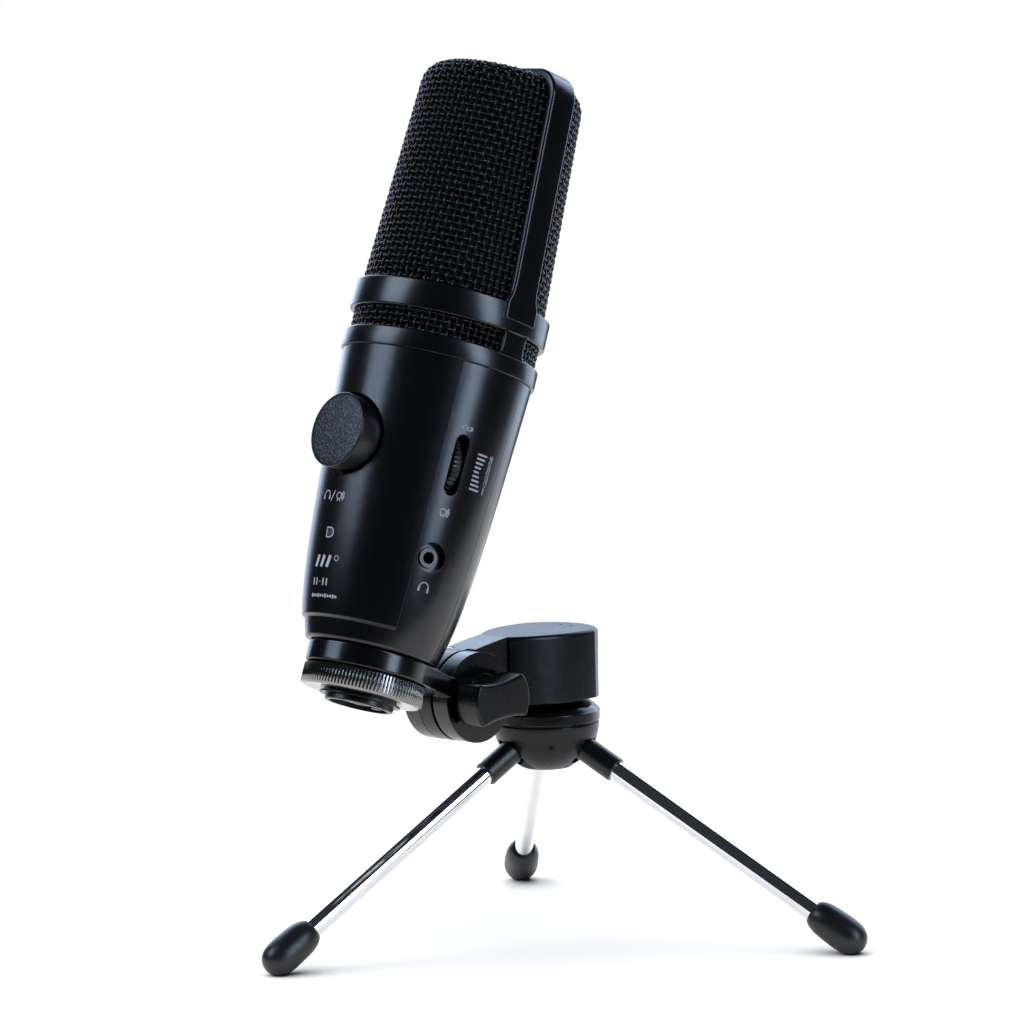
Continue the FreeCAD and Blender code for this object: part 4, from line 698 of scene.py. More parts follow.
def _wires(g: Growth, upright: bool) -> Socket:
    """One family of the cloth's wires.

    Args:
        g: The tree.
        upright: Whether the wires run up the wall or round it.

    Returns:
        The wires' geometry.
    """
    own, other = ("Upright Wires", "Level Wires") if upright else ("Level Wires", "Upright Wires")
    points = g.math("MULTIPLY_ADD", g[other], g["Samples"], 1.0)
    grid = g.node("GeometryNodeMeshGrid", {"Size X": 1.0, "Size Y": 1.0, "Vertices X": points,
                                           "Vertices Y": g[own]})
    ends = g.node("GeometryNodeInputMeshEdgeVertices")
    across = [g.node("ShaderNodeSeparateXYZ", {0: ends.outputs[label]}).outputs["Y"]
              for label in ("Position 1", "Position 2")]
    gap = g.math("ABSOLUTE", g.math("SUBTRACT", across[0], across[1]))
    is_rung = g.math("GREATER_THAN", gap, 1e-6)
    rungs = g.node("GeometryNodeDeleteGeometry", {0: grid.outputs["Mesh"], 1: is_rung},
                   domain="EDGE", mode="EDGE_FACE")
    spot = g.node("ShaderNodeSeparateXYZ", {0: g.node("GeometryNodeInputPosition").outputs[0]})
    along = g.math("ADD", spot.outputs["X"], 0.5)
    beside = g.math("ADD", spot.outputs["Y"], 0.5)
    turn_share, rise_share = (beside, along) if upright else (along, beside)
    turn = g.math("MULTIPLY", g.math("MULTIPLY_ADD", turn_share, 2.0, -1.0), g["Half Turn"])
    rise = g.math("MULTIPLY", rise_share, g["Length"])

    phase = g.math("ADD", g.math("MULTIPLY", turn_share, g.math("SUBTRACT", g["Upright Wires"], 1.0)),
                   g.math("MULTIPLY", rise_share, g.math("SUBTRACT", g["Level Wires"], 1.0)))
    wave = g.math("MULTIPLY", g["Wave"], g.math("COSINE", g.math("MULTIPLY", phase, math.pi)))
    lift = wave if upright else g.math("MULTIPLY", wave, -1.0)

    on_side = g.math("MINIMUM", rise, g["Side"])
    bend_length = g.math("MULTIPLY", g["Corner"], g.math("SUBTRACT", math.pi / 2, g["Taper"]))
    past_side = g.math("MAXIMUM", g.math("SUBTRACT", rise, g["Side"]), 0.0)
    bend = g.math("DIVIDE", g.math("MINIMUM", past_side, bend_length), g["Corner"])
    on_top = g.math("MAXIMUM", g.math("SUBTRACT", past_side, bend_length), 0.0)
    slope = g.math("ADD", g["Taper"], bend)
    cos_slope, sin_slope = g.math("COSINE", slope), g.math("SINE", slope)
    cos_taper, sin_taper = g.math("COSINE", g["Taper"]), g.math("SINE", g["Taper"])
    inwards = g.math("ADD", g.math("MULTIPLY", on_side, sin_taper),
                     g.math("MULTIPLY", g["Corner"], g.math("SUBTRACT", cos_taper, cos_slope)))
    radius = g.math("ADD", g.math("SUBTRACT", g["Base Radius"], inwards), g.math("MULTIPLY", lift, cos_slope))
    upwards = g.math("ADD", g.math("MULTIPLY", on_side, cos_taper),
                     g.math("MULTIPLY", g["Corner"], g.math("SUBTRACT", sin_slope, sin_taper)))
    height = g.math("ADD", g.math("ADD", g["Base Height"], upwards), g.math("MULTIPLY", lift, sin_slope))
    x = g.math("MULTIPLY", radius, g.math("SINE", turn))
    y = g.math("SUBTRACT", on_top, g.math("MULTIPLY", radius, g.math("COSINE", turn)))
    goal = g.node("ShaderNodeCombineXYZ", {0: x, 1: y, 2: height})
    placed = g.node("GeometryNodeSetPosition", {"Geometry": rungs.outputs[0], "Position": goal.outputs[0]})
    there = g.node("ShaderNodeSeparateXYZ", {0: g.node("GeometryNodeInputPosition").outputs[0]})
    beyond = g.math("GREATER_THAN", there.outputs["Y"], g.math("MULTIPLY", g["Edge"], -1.0))
    trimmed = g.node("GeometryNodeDeleteGeometry", {0: placed.outputs[0], 1: beyond}, domain="POINT")
    line = g.node("GeometryNodeMeshToCurve", {0: trimmed.outputs[0]})
    section = g.node("GeometryNodeCurvePrimitiveCircle", {"Resolution": 6, "Radius": g["Wire Radius"]})
    wires = g.node("GeometryNodeCurveToMesh", {
        "Curve": line.outputs[0], "Profile Curve": section.outputs["Curve"], "Fill Caps": True})
    return wires.outputs[0]


def rib_tree() -> Growth:
    """Tree that sets a ring of straight ribs round a turned core."""
    g = Growth("ribbed rim", {"Ribs": 90, "Radius": 18.0, "Rib Radius": 0.3, "Rib Length": 5.0,
                              "Middle": 0.0})
    ring = g.node("GeometryNodeMeshCircle", {"Vertices": g["Ribs"], "Radius": g["Radius"]})
    rib = g.node("GeometryNodeMeshCylinder", {"Vertices": 8, "Radius": g["Rib Radius"],
                                              "Depth": g["Rib Length"]})
    lifted = g.node("GeometryNodeTransform", {
        0: ring.outputs[0], "Translation": g.node("ShaderNodeCombineXYZ", {2: g["Middle"]}).outputs[0]})
    ribs = g.node("GeometryNodeInstanceOnPoints", {"Points": lifted.outputs[0], "Instance": rib.outputs[0]})
    g.close([ribs.outputs[0], g["Core"]])
    return g


# ---------------------------------------------------------------- head
@dataclass
class Head:
    """Woven grilles, and the frame with its rim, collar, posts and band. Millimetres along the axis."""

    places: Places
    shop: Workshop
    rim_height: float = 5.8
    window_height: float = 6.5
    collar_height: float = 8.7
    rim_radius: float = 29.75
    collar_radius: float = 30.0
    rim_round: float = 0.55
    post_width: float = 9.0
    base_radius: float = 28.0
    top_radius: float = 24.4
    corner: float = 7.0
    pitch: float = 2.05
    wire_radius: float = 0.37
    wave: float = 0.33
    cloth_depth: float = 0.5
    skirt: float = 7.3
    band_width: float = 10.0
    band_proud_side: float = 2.0
    band_proud_top: float = 2.0
    band_inset: float = 1.2
    band_round: float = 0.9
    band_root: float = 5.0
    flare: float = 1.6
    flare_height: float = 2.0
    spigot_radius: float = 26.5
    spigot_wall: float = 1.5
    rim_seat: float = 2.0
    post_root: float = 0.6
    post_flare: float = 1.2
    post_flare_height: float = 0.9
    cloth_half_turn: float = 84.0
    cloth_grip: float = 1.0
    window_half_turn: float = 85.0
    window_grip: float = 1.5
    fit: float = 0.03

    def __post_init__(self) -> None:
        """Finds the head's stations from the CAD nodes."""
        frame_low, frame_high = self.places.span("head_frame", self.places.microphone)
        _, body_high = self.places.span("body_rear", self.places.microphone)
        self.low = frame_low.z
        self.rim_bottom = body_high.z + self.fit
        self.rim_top = self.rim_bottom + self.rim_height
        self.collar_bottom = self.rim_top + self.window_height
        self.collar_top = self.collar_bottom + self.collar_height
        self.grille_top = frame_high.z - self.band_proud_top
        self.taper = math.atan2(self.base_radius - self.top_radius, frame_high.z - self.collar_top)

    def build(self, weave: Growth) -> None:
        """Builds the three cloths and the frame."""
        finish = self.shop.materials["grille_wire"]
        cloth = self._cloth(weave, finish)
        back = cloth.copy()
        back.transform(Matrix.Rotation(math.pi, 4, "Z"))
        place = self.places.microphone
        self.shop.piece("woven_grille_front", cloth, place, MICROPHONE, "grille_wire", ["front_grille"])
        self.shop.piece("woven_grille_rear", back, place, MICROPHONE, "grille_wire", ["rear_grille"])
        window = self._window(weave, finish)
        self.shop.piece("woven_window", window, place, MICROPHONE, "grille_wire", ["lower_grille"])
        parts = [self._rim(), self._collar(), self._post(1), self._post(-1), self._band()]
        self.shop.piece("frame_and_band", together(parts), place, MICROPHONE, "satin_frame", ["head_frame"])

    def _radius_at(self, station: float) -> float:
        """The grille's outer radius at a station."""
        return self.base_radius - (station - self.collar_top) * math.tan(self.taper)

    def _cloth(self, weave: Growth, finish: bpy.types.Material) -> bpy.types.Mesh:
        """The front half of the head's cloth, drawn about the axis."""
        start = self.collar_top - self.skirt
        top = self.grille_top - self.cloth_depth
        corner = self.corner - self.cloth_depth
        setback = corner * math.tan(math.pi / 4 - self.taper / 2)
        side = (top - start) / math.cos(self.taper) - setback
        bend = corner * (math.pi / 2 - self.taper)
        length = side + bend + self.top_radius - setback
        half_turn = math.radians(self.cloth_half_turn)
        middle_radius = (self.base_radius + self.top_radius) / 2
        return weave.grow({
            "Upright Wires": round(2 * half_turn * middle_radius / self.pitch) + 1,
            "Level Wires": round(length / self.pitch) + 1,
            "Base Radius": self._radius_at(start) - self.cloth_depth, "Base Height": start,
            "Taper": self.taper, "Side": side, "Corner": corner, "Length": length, "Half Turn": half_turn,
            "Edge": self.band_width / 2 - self.cloth_grip, "Wire Radius": self.wire_radius, "Wave": self.wave,
            "Finish": finish})

    def _window(self, weave: Growth, finish: bpy.types.Material) -> bpy.types.Mesh:
        """The cloth behind the window between rim and collar."""
        _, high = self.places.span("lower_grille", self.places.microphone)
        length = self.window_height + 2 * self.window_grip
        half_turn = math.radians(self.window_half_turn)
        radius = high.x - self.cloth_depth
        half = weave.grow({
            "Upright Wires": round(2 * half_turn * radius / self.pitch) + 1,
            "Level Wires": round(length / self.pitch) + 1, "Base Radius": radius,
            "Base Height": self.rim_top - self.window_grip, "Taper": 0.0, "Side": 2 * length,
            "Length": length,
            "Half Turn": half_turn, "Edge": -2 * radius, "Wire Radius": self.wire_radius, "Wave": self.wave,
            "Finish": finish})
        other = half.copy()
        other.transform(Matrix.Rotation(math.pi, 4, "Z"))
        return together([half, other])

    def _inner(self) -> float:
        """Inner radius of rim and collar."""
        _, high = self.places.span("lower_grille", self.places.microphone)
        return high.x + self.fit

    def _rim(self) -> bpy.types.Mesh:
        """The rim with the spigot that enters the body."""
        inner, r = self._inner(), self.rim_round
        bore = self.spigot_radius - self.spigot_wall
        seat = self.rim_bottom + self.rim_seat
        return turned(rounded([
            (bore, self.low, 0.2), (self.spigot_radius, self.low, 0.2),
            (self.spigot_radius, self.rim_bottom, 0.0),
            (self.rim_radius, self.rim_bottom, 0.3), (self.rim_radius, self.rim_top, r),
            (inner, self.rim_top, 0.2), (inner, seat, 0.0), (bore, seat, 0.0)]), 160)

    def _collar(self) -> bpy.types.Mesh:
        """The collar round the foot of the grille."""
        inner, r = self._inner(), self.rim_round
        return turned(rounded([
            (inner, self.collar_bottom, 0.2), (self.collar_radius, self.collar_bottom, r),
            (self.collar_radius, self.collar_top, r), (inner, self.collar_top, 0.2)]), 160)

    def _post(self, side: int) -> bpy.types.Mesh:
        """One of the two posts between rim and collar, with flared ends."""
        inner, sections = self._inner(), []
        low, high = self.rim_top - self.post_root, self.collar_bottom + self.post_root
        steps = 16
        for step in range(steps + 1):
            station = low + (high - low) * step / steps
            from_end = min(station - low, high - station)
            half = self.post_width / 2 + self.post_flare * math.exp(-from_end / self.post_flare_height)
            outline = rounded([(inner, -half, 0.2), (self.rim_radius, -half, 0.5),
                               (self.rim_radius, half, 0.5), (inner, half, 0.2)], 3)
            sections.append([Vector((side * x, y, station)) for x, y in outline])
        return swept(sections)

    def _band(self) -> bpy.types.Mesh:
        """The band over the head from side to side, flared where it meets the collar."""
        path = self._band_path()
        mirrored = [(-x, z, -nx, nz, proud, rise) for x, z, nx, nz, proud, rise in reversed(path)]
        sections = []
        for x, z, nx, nz, proud, rise in path + mirrored[1:]:
            half = self.band_width / 2 + self.flare * math.exp(-rise / self.flare_height)
            section = rounded([(-self.band_inset, -half, 0.2), (proud, -half, self.band_round),
                               (proud, half, self.band_round), (-self.band_inset, half, 0.2)], 5)
            sections.append([Vector((x + nx * out, across, z + nz * out)) for out, across in section])
        return swept(sections)

    def _band_path(self) -> list[tuple[float, float, float, float, float, float]]:
        """Points of the grille's outline from one collar side to the middle of the top.

        Returns:
            (x, z, outward x, outward z, how proud the band stands, distance from the collar) of each.
        """
        start = self.collar_top - self.band_root
        setback = self.corner * math.tan(math.pi / 4 - self.taper / 2)
        side_high = self.grille_top - setback * math.cos(self.taper)
        out = (math.cos(self.taper), math.sin(self.taper))
        side_steps, bend_steps, top_steps = 40, 14, 12
        path = []
        for step in range(side_steps + 1):
            station = start + (side_high - start) * step / side_steps
            rise = max(0.0, station - self.collar_top)
            path.append((self._radius_at(station), station, *out, self.band_proud_side, rise))
        bend_x = self._radius_at(side_high) - self.corner * out[0]
        bend_z = side_high - self.corner * out[1]
        for step in range(1, bend_steps + 1):
            share = step / bend_steps
            angle = self.taper + (math.pi / 2 - self.taper) * share
            proud = self.band_proud_side + (self.band_proud_top - self.band_proud_side) * share
            cos, sin = math.cos(angle), math.sin(angle)
            path.append((bend_x + self.corner * cos, bend_z + self.corner * sin, cos, sin, proud, rise))
        for step in range(1, top_steps + 1):
            x = bend_x * (1 - step / top_steps)
            path.append((x, self.grille_top, 0.0, 1.0, self.band_proud_top, rise))
        return path


# ---------------------------------------------------------------- controls
@dataclass
class MixKnob:
    """The knob on the front with its textured face disc."""

    places: Places
    shop: Workshop
    rim_round: float = 0.5
    face_radius: float = 10.75
    face_drop: float = 0.12
    face_thickness: float = 0.5
    face_gap: float = 0.05
    wall: float = 2.0
    hollow: float = 4.0
    boss_radius: float = 5.0
    shaft_radius: float = 3.0
    shaft_cover: float = 1.5

    def build(self) -> None:
        """Builds the knob and its disc in the frame of the knob's joint."""
        origin, axis = self.places.joint("mix_knob_turn")
        place = self.places.frame_at(origin, axis, Vector((1, 0, 0)))
        low, high = self.places.span("mix_knob", place)
        radius, top, back = high.x, high.z, low.z
        seat = top - self.face_thickness
        pocket, inner = self.face_radius + self.face_gap, radius - self.wall
        deep, shaft_top = back + self.hollow, seat - self.shaft_cover
        skirt = turned(rounded([
            (0.0, seat, 0.0), (pocket, seat, 0.0), (pocket, top, 0.12), (radius, top, self.rim_round),
            (radius, back, 0.25), (inner, back, 0.25), (inner, deep, 0.4), (self.boss_radius, deep, 0.4),
            (self.boss_radius, back, 0.2), (self.shaft_radius, back, 0.2),
            (self.shaft_radius, shaft_top, 0.0), (0.0, shaft_top, 0.0)], 6), 160)
        under, over = seat + 0.01, top - self.face_drop
        face = turned(rounded([(0.0, under, 0.0), (self.face_radius, under, 0.0),
                               (self.face_radius, over, 0.15), (0.0, over, 0.0)]), 160)
        self.shop.piece("knob_body", skirt, place, "mix_control", "knob_metal", ["mix_knob"])
        self.shop.piece("knob_face", face, place, "mix_control", "knob_face", ["mix_knob_cap"])


@dataclass
class GainWheel:
    """The ribbed thumb wheel in the side."""

    places: Places
    shop: Workshop
    ribs: int = 48
    rib_radius: float = 0.34
    rib_setback: float = 0.35
    edge_round: float = 0.4
    bore_radius: float = 1.5

    def build(self, ribs: Growth) -> None:
        """Builds the wheel about its joint."""
        origin, axis = self.places.joint("gain_wheel_turn")
        place = self.places.frame_at(origin, axis, Vector((0, 0, 1)))
        low, high = self.places.span("gain_wheel", place)
        radius = high.x - self.rib_radius
        core = turned(rounded([(self.bore_radius, low.z, 0.0), (radius, low.z, self.edge_round),
                               (radius, high.z, self.edge_round), (self.bore_radius, high.z, 0.0)]), 96)
        mesh = ribs.grow({"Ribs": self.ribs, "Radius": radius, "Rib Radius": self.rib_radius,
                          "Rib Length": high.z - low.z - 2 * self.rib_setback, "Middle": (low.z + high.z) / 2,
                          "Finish": self.shop.materials["wheel_plastic"]}, core)
        self.shop.piece("thumb_wheel", mesh, place, "gain_control", "wheel_plastic", ["gain_wheel"])


@dataclass
class RingNut:
    """The knurled nut under the stand ring. Each rib stands proud by a share of its radius."""

    places: Places
    shop: Workshop
    ribs: int = 104
    rib_radius: float = 0.30
    rib_proud: float = 0.8
    edge: float = 0.6
    bore_radius: float = 11.05

    def build(self, ribs: Growth) -> None:
        """Builds the nut about the microphone's axis."""
        place = self.places.microphone
        low, high = self.places.span("ring_nut", place)
        radius = high.x - self.rib_radius * self.rib_proud
        flat = radius - self.edge
        core = turned(rounded([
            (self.bore_radius, low.z, 0.3), (flat, low.z, 0.4), (radius, low.z + self.edge, 0.3),
            (radius, high.z - self.edge, 0.3), (flat, high.z, 0.4), (self.bore_radius, high.z, 0.3)]))
        mesh = ribs.grow({"Ribs": self.ribs, "Radius": radius, "Rib Radius": self.rib_radius,
                          "Rib Length": high.z - low.z - 2 * self.edge, "Middle": (low.z + high.z) / 2,
                          "Finish": self.shop.materials["knurled_nickel"]}, core)
        self.shop.piece("knurled_nut", mesh, place, "clamp_nut", "knurled_nickel", ["ring_nut"])


# ---------------------------------------------------------------- printed marks
class Print:
    """Flat marks that are laid on the body's surface. Its values describe the body's side, in millimetres."""

    BODY_LENGTH = 88.0
    BOTTOM_RADIUS = 20.0
    TOP_RADIUS = 29.0
    SWELL = 4.0
    SWELL_RATE = 6.0
    REACH = 60.0
    SPACING = 0.25

    def __init__(self, places: Places, angle: float) -> None:
        """Starts an empty sheet.

        Args:
            places: Places of the part.
            angle: Direction of the sheet's middle line about the microphone's axis, in degrees from +X.
        """
        self.places = places
        self.angle = math.radians(angle)
        self.shape = bmesh.new()

    def stroke(self, points: Sequence[Point2], width: float) -> None:
        """Adds a line of even width through points of (across, height), in millimetres."""
        line = self._evenly(points)
        sides = []
        for index, here in enumerate(line):
            ahead = line[min(index + 1, len(line) - 1)] - line[max(index - 1, 0)]
            normal = Vector((-ahead.y, ahead.x)).normalized() * (width / 2)
            sides.append((here + normal, here - normal))
        rows = [[self.shape.verts.new((point.x, point.y, 0.0)) for point in pair] for pair in sides]
        for this, following in zip(rows, rows[1:]):
            self.shape.faces.new((this[0], this[1], following[1], following[0]))

    def arc(self, centre: Point2, radius: float, start: float, end: float, width: float) -> None:
        """Adds a round line between two angles in degrees."""
        steps = max(8, int(abs(end - start) / 9))
        angles = [math.radians(start + (end - start) * step / steps) for step in range(steps + 1)]
        x, y = centre
        self.stroke([(x + radius * math.cos(angle), y + radius * math.sin(angle)) for angle in angles], width)

    def _evenly(self, points: Sequence[Point2]) -> list[Vector]:
        """The same line with points at an even spacing."""
        line = [Vector(points[0])]
        for start, end in zip(points, points[1:]):
            a, b = Vector(start), Vector(end)
            steps = max(1, math.ceil((b - a).length / self.SPACING))
            line += [a.lerp(b, step / steps) for step in range(1, steps + 1)]
        return line

    def numeral(self, text: str, centre: Point2, height: float) -> None:
        """Adds a number.

        Args:
            text: The number.
            centre: Its middle, (across, height).
            height: Height of its figures.
        """
        curve = bpy.data.curves.new("numeral", "FONT")
        curve.body = text
        curve.size = height * 1.4  # the font's figures are about 0.7 of its size tall
        curve.align_x, curve.align_y = "CENTER", "CENTER"
        holder = bpy.data.objects.new("numeral", curve)
        mesh = bpy.data.meshes.new_from_object(holder)
        mesh.transform(Matrix.Translation((*centre, 0.0)))
        self.shape.from_mesh(mesh)
        bpy.data.objects.remove(holder)

    def headphones(self, centre: Point2, size: float, width: float) -> None:
        """A headband with two ear pads."""
        x, y = centre
        self.arc((x, y), size * 0.42, 0, 180, width)
        for side in (-1, 1):
            self.stroke([(x + side * size * 0.42, y), (x + side * size * 0.42, y - size * 0.36)], width * 1.9)

    def voice(self, centre: Point2, size: float, width: float) -> None:
        """A round head with two sound waves beside it."""
        x, y = centre
        self.arc((x - size * 0.16, y), size * 0.28, 0, 360, width)
        self.stroke([(x - size * 0.28, y - size * 0.26), (x - size * 0.30, y - size * 0.48)], width)
        self.stroke([(x - size * 0.04, y - size * 0.26), (x - size * 0.02, y - size * 0.48)], width)
        for radius in (0.42, 0.58):
            self.arc((x - size * 0.16, y), size * radius, -42, 42, width)

    def _radius(self, height: float) -> float:
        """The body's radius at a height above its bottom: a quick swell, then an even taper."""
        share = height / self.BODY_LENGTH
        taper = self.TOP_RADIUS - self.BOTTOM_RADIUS - self.SWELL
        return self.BOTTOM_RADIUS + taper * share + self.SWELL * (1.0 - math.exp(-self.SWELL_RATE * share))

    def laid(self, lift: float = 0.035) -> bpy.types.Mesh:
        """Lays the sheet on the body. Over a hole, a mark runs on along the body's usual side.

        Args:
            lift: Height of the ink's top above the surface.

        Returns:
            The marks as thin closed solids, in metres of the part.
        """
        body = self.places.nodes["body_front"].data
        tree = BVHTree.FromPolygons([v.co for v in body.vertices], [p.vertices for p in body.polygons])
        place = self.places.microphone
        low, _ = self.places.span("body_rear", place)
        for vertex in self.shape.verts:
            across, height = vertex.co.x, vertex.co.y
            radius = self._radius(height)
            angle = self.angle + across / radius
            out = Vector((math.cos(angle), math.sin(angle), 0.0))
            start = place @ (out * self.REACH + Vector((0, 0, low.z + height)))
            ray = (place.to_3x3() @ -out).normalized()
            depth = tree.ray_cast(start, ray)[3]
            usual = (self.REACH - radius) * MM
            if depth is None or depth > usual + MM:
                depth = usual
            vertex.co = start + ray * (depth - lift * MM)
        mesh = bpy.data.meshes.new("print")
        bmesh.ops.recalc_face_normals(self.shape, faces=self.shape.faces)
        self.shape.to_mesh(mesh)
        self.shape.free()
        return self._thickened(mesh, lift * 2 * MM)

    def _thickened(self, mesh: bpy.types.Mesh, thickness: float) -> bpy.types.Mesh:
        """Gives the sheet a thickness towards the microphone's axis."""
        centre = self.places.microphone.translation
        axis = (self.places.microphone.to_3x3() @ Vector((0, 0, 1))).normalized()
        shape = bmesh.new()
        shape.from_mesh(mesh)
        for face in shape.faces:
            middle = face.calc_center_median() - centre
            if face.normal.dot(middle - axis * middle.dot(axis)) < 0:
                face.normal_flip()
        kept = list(shape.faces)
        copy = bmesh.ops.duplicate(shape, geom=kept + list(shape.edges) + list(shape.verts))
        vert = bmesh.types.BMVert
        below = [item for item in copy["geom"] if isinstance(item, vert)]
        mapped = {key: value for key, value in copy["vert_map"].items() if isinstance(key, vert)}
        for vertex in below:
            middle = vertex.co - centre
            vertex.co -= (middle - axis * middle.dot(axis)).normalized() * thickness
        for item in copy["geom"]:
            if isinstance(item, bmesh.types.BMFace):
                item.normal_flip()
        originals = {vertex for face in kept for vertex in face.verts}
        for edge in [e for e in shape.edges if e.is_boundary and e.verts[0] in originals]:
            a, b = edge.verts
            if edge.link_loops[0].vert is b:
                a, b = b, a
            shape.faces.new((b, a, mapped[a], mapped[b]))
        bmesh.ops.recalc_face_normals(shape, faces=shape.faces)
        shape.to_mesh(mesh)
        shape.free()
        return mesh


@dataclass
class Marks:
    """The printed signs of the controls. Heights are above the body's bottom."""

    places: Places
    shop: Workshop
    front_angle: float = -94.0
    controls_angle: float = -17.0
    line: float = 0.34
    mix_signs_height: float = 41.6
    mix_signs_shift: float = -1.5
    lamp_height: float = 30.5
    lamp_outline: float = 1.45
    emblem_height: float = 21.9
    strokes_drop: float = 6.1
    dashes_drop: float = 10.2
    scale_height: float = 57.5
    scale_bars: int = 9
    scale_length: float = 10.6
    scale_shift: float = 6.2
    numbers_shift: float = 12.2
    number_step: int = 6
    number_height: float = 1.35
    voice_height: float = 43.1
    headphone_height: float = 20.1
    small_sign_height: float = 69.0

    def build(self) -> None:
        """Prints the front and the side."""
        for name, mesh in (("front_print", self._front()), ("side_print", self._side())):
            self.shop.piece(name, mesh, Matrix.Identity(4), MICROPHONE, None, finish=self.shop.ink)

    def _front(self) -> bpy.types.Mesh:
        """Signs under the knob, the outline round the lamp and the pick-up pattern's symbol."""
        sheet = Print(self.places, self.front_angle)
        x, y = self.mix_signs_shift, self.mix_signs_height
        sheet.headphones((x - 3.1, y), 3.4, self.line)
        sheet.stroke([(x - 0.7, y - 1.7), (x + 0.6, y + 1.6)], self.line)
        sheet.voice((x + 3.2, y), 3.5, self.line * 0.85)
        y, half = self.lamp_height, self.lamp_outline
        sheet.stroke([(0.0, y - half), (-half, y - half), (-half, y + half), (0.0, y + half)], self.line)
        sheet.arc((0.0, y), half, -90, 90, self.line)
        self._emblem(sheet)
        return sheet.laid()

    def _emblem(self, sheet: Print) -> None:
        """Three plain rows: slanted bars with a small ring, short strokes, and fine dashes."""
        y = self.emblem_height
        for column in range(3):
            x = -3.7 + 2.5 * column
            sheet.stroke([(x - 0.5, y - 1.75), (x + 0.5, y + 1.75)], 1.15)
        sheet.arc((4.3, y + 1.1), 0.75, 0, 360, 0.2)
        row = y - self.strokes_drop
        for column in range(5):
            x = -4.2 + 1.45 * column
            half = 0.15 if column == 2 else 1.05
            sheet.stroke([(x, row - half), (x, row + half)], 0.5)
        row = y - self.dashes_drop
        for column in range(11):
            x = -4.6 + 1.0 * column
            sheet.stroke([(x, row), (x + 0.62, row)], 0.75 if column % 3 else 1.1)

    def _side(self) -> bpy.types.Mesh:
        """Signs and the level scale beside the wheel and the jack."""
        sheet = Print(self.places, self.controls_angle)
        sheet.voice((0.0, self.voice_height), 3.4, self.line)
        sheet.headphones((0.0, self.headphone_height), 3.6, self.line)
        sheet.headphones((-0.6, self.small_sign_height), 1.7, 0.22)
        sheet.voice((1.3, self.small_sign_height), 1.7, 0.22)
        last = self.scale_bars - 1
        for bar in range(self.scale_bars):
            height = self.scale_height + self.scale_length * (bar / last - 0.5)
            length = 2.2 + 1.7 * abs(bar - last / 2) / (last / 2)
            sheet.stroke([(self.scale_shift, height), (self.scale_shift + length, height)], 0.62)
            sheet.numeral(str(self.number_step * bar), (self.numbers_shift, height), self.number_height)
        return sheet.laid()


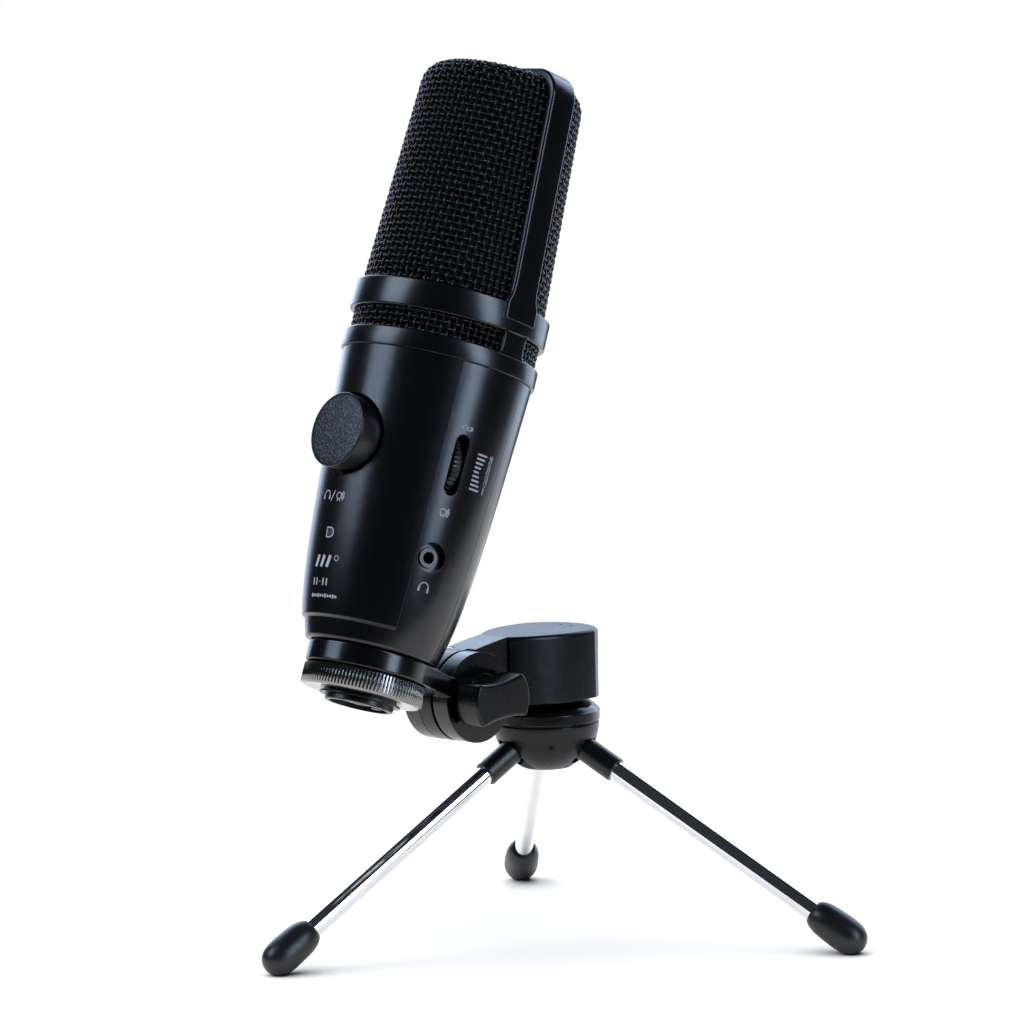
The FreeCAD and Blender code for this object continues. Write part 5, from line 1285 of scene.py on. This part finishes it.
# ---------------------------------------------------------------- studio
@dataclass
class Studio:
    """Pale floor, soft lights and the camera.

    Angles are in degrees. The camera's lens, aim and distance are in millimetres, and the floor and the
    lights are in metres.
    """

    azimuth: float = 45.0
    elevation: float = 6.14
    roll: float = -1.18
    focal_length: float = 193.4
    distance: float = 1705.6
    aim_right: float = -11.88
    aim_up: float = 131.0
    floor_reach: float = 0.50
    floor_shift: float = 0.18
    box_colour: Colour = (0.62, 0.77, 1.0)
    box_aim: float = 0.14
    sun_strength: float = 4.7
    sun_spread: float = 100.0
    sun_turn: tuple[float, float, float] = (14.0, -10.0, 0.0)
    room_colour: Colour = (0.80, 0.88, 1.0)
    room_strength: float = 0.04

    def build(self) -> None:
        """Makes the floor, the lights, the surroundings and the camera."""
        floor = self._floor()
        self._surroundings()
        self._camera()
        self._lights(floor)
        bpy.context.scene.view_settings.view_transform = "Standard"

    def _axes(self) -> tuple[Vector, Vector, Vector]:
        """The camera's right, up and forward directions."""
        a, e, roll = (math.radians(v) for v in (self.azimuth, self.elevation, self.roll))
        level = Vector((math.cos(a), math.sin(a), 0.0))
        away = Vector((-math.sin(a), math.cos(a), 0.0))
        forward = away * math.cos(e) - Vector((0, 0, math.sin(e)))
        up = level.cross(forward)
        right = level * math.cos(roll) + up * math.sin(roll)
        return right, up * math.cos(roll) - level * math.sin(roll), forward

    def _camera(self) -> None:
        """Sets the camera."""
        right, up, forward = self._axes()
        data = bpy.data.cameras.new("camera")
        data.lens = self.focal_length
        data.clip_start, data.clip_end = 0.1, 100.0
        camera = bpy.data.objects.new("camera", data)
        place = (right * self.aim_right + up * self.aim_up - forward * self.distance) * MM
        turn = Matrix((right, up, -forward)).transposed().to_4x4()
        camera.matrix_world = Matrix.Translation(place) @ turn
        bpy.context.scene.collection.objects.link(camera)
        bpy.context.scene.camera = camera

    def _floor(self) -> bpy.types.Object:
        """A pale floor under the feet."""
        shape = bmesh.new()
        bmesh.ops.create_circle(shape, cap_ends=True, segments=96, radius=self.floor_reach)
        mesh = bpy.data.meshes.new("floor")
        shape.to_mesh(mesh)
        shape.free()
        made = bpy.data.materials.new("floor_paper")
        made.use_nodes = True
        t = ShaderTree(made.node_tree)
        shader = made.node_tree.nodes["Principled BSDF"]
        spot = t.spot()
        pulp = t.node("ShaderNodeTexNoise", {"Vector": spot, "Scale": 8.0, "Detail": 3.0})
        tone = t.mix(pulp.outputs["Fac"], (0.90, 0.91, 0.93, 1.0), (0.93, 0.94, 0.96, 1.0))
        made.node_tree.links.new(tone, shader.inputs["Base Color"])
        shader.inputs["Roughness"].default_value = 0.75
        shader.inputs["Specular IOR Level"].default_value = 0.2
        mesh.materials.append(made)
        away = self._axes()[2]
        mesh.transform(Matrix.Translation(Vector((away.x, away.y, 0.0)).normalized() * self.floor_shift))
        floor = bpy.data.objects.new("floor", mesh)
        bpy.context.scene.collection.objects.link(floor)
        return floor

    @staticmethod
    def _spared(name: str, objects: Sequence[bpy.types.Object]) -> bpy.types.Collection:
        """A collection that keeps a light off the given objects."""
        made = bpy.data.collections.new(name)
        for index, item in enumerate(objects):
            made.objects.link(item)
            made.collection_objects[index].light_linking.link_state = "EXCLUDE"
        return made

    def _surroundings(self) -> None:
        """White to look at, and a dim room to be mirrored in the pieces."""
        world = bpy.data.worlds.new("studio")
        bpy.context.scene.world = world
        world.use_nodes = True
        world.node_tree.nodes.clear()
        t = ShaderTree(world.node_tree)
        seen = t.node("ShaderNodeBackground", {"Color": (1.0, 1.0, 1.0, 1.0), "Strength": 1.0})
        room = t.node("ShaderNodeBackground", {"Color": (*self.room_colour, 1.0),
                                               "Strength": self.room_strength})
        path = t.node("ShaderNodeLightPath")
        both = t.node("ShaderNodeMixShader", {0: path.outputs["Is Camera Ray"], 1: room.outputs[0],
                                              2: seen.outputs[0]})
        t.node("ShaderNodeOutputWorld", {"Surface": both.outputs[0]})

    def _lights(self, floor: bpy.types.Object) -> None:
        """Softboxes round the microphone, placed by direction from the camera's side.

        None of them lights the floor, and those on the left don't light the knurled nut.
        """
        nut = bpy.data.objects["knurled_nut"]
        spared = self._spared("spared floor", [floor])
        nut_too = self._spared("spared floor and nut", [floor, nut])
        self._sun()
        self._softbox("left_back", -157.0, 18.0, 1.6, (1.1, 1.8), 2.1, nut_too)
        self._softbox("right_back", 137.0, 16.0, 1.5, (0.9, 1.8), 3.0, spared)
        self._softbox("behind", 180.0, 22.0, 2.2, (2.6, 1.8), 1.4, spared)
        self._softbox("left_key", -73.0, 35.0, 1.3, (0.66, 0.72), 6.4, nut_too)
        self._softbox("right_key", 47.0, 17.0, 1.4, (0.46, 1.0), 8.2, spared)

    def _sun(self) -> None:
        """Even light on the floor from above, with very soft shadows, unseen in reflections."""
        data = bpy.data.lights.new("sky", "SUN")
        data.energy = self.sun_strength
        data.angle = math.radians(self.sun_spread)
        sun = bpy.data.objects.new("sky", data)
        sun.rotation_euler = [math.radians(angle) for angle in self.sun_turn]
        sun.visible_glossy = False
        bpy.context.scene.collection.objects.link(sun)

    def _softbox(self, name: str, turn: float, height: float, reach: float, size: Point2, radiance: float,
                 spared: bpy.types.Collection) -> None:
        """Adds a softbox that faces the microphone.

        Args:
            name: The light's name.
            turn: Direction from the camera's own, in degrees to the right as the camera sees it.
            height: Elevation in degrees.
            reach: Distance in metres.
            size: Width and height in metres.
            radiance: Brightness of its face, where the floor's is about 1.
            spared: What it doesn't light.
        """
        a, e = math.radians(self.azimuth + turn), math.radians(height)
        out = Vector((math.sin(a) * math.cos(e), -math.cos(a) * math.cos(e), math.sin(e)))
        data = bpy.data.lights.new(name, "AREA")
        data.shape = "RECTANGLE"
        data.size, data.size_y = size
        data.energy = radiance * math.pi * size[0] * size[1]
        data.color = self.box_colour
        light = bpy.data.objects.new(name, data)
        light.rotation_mode = "QUATERNION"
        light.rotation_quaternion = out.to_track_quat("Z", "Y")
        light.location = Vector((0.0, 0.0, self.box_aim)) + out * reach
        light.visible_camera = False
        light.light_linking.receiver_collection = spared
        bpy.context.scene.collection.objects.link(light)


def main() -> None:
    """Builds the looks, sub-assembly by sub-assembly."""
    logging.basicConfig(level=logging.INFO, format="%(name)s %(message)s")
    places = Places(frame)
    shop = Workshop()
    shop.dress(frame)
    ribs = rib_tree()
    Head(places, shop).build(weave_tree())
    MixKnob(places, shop).build()
    GainWheel(places, shop).build(ribs)
    RingNut(places, shop).build(ribs)
    Marks(places, shop).build()
    Studio().build()


if __name__ == "__main__":
    main()
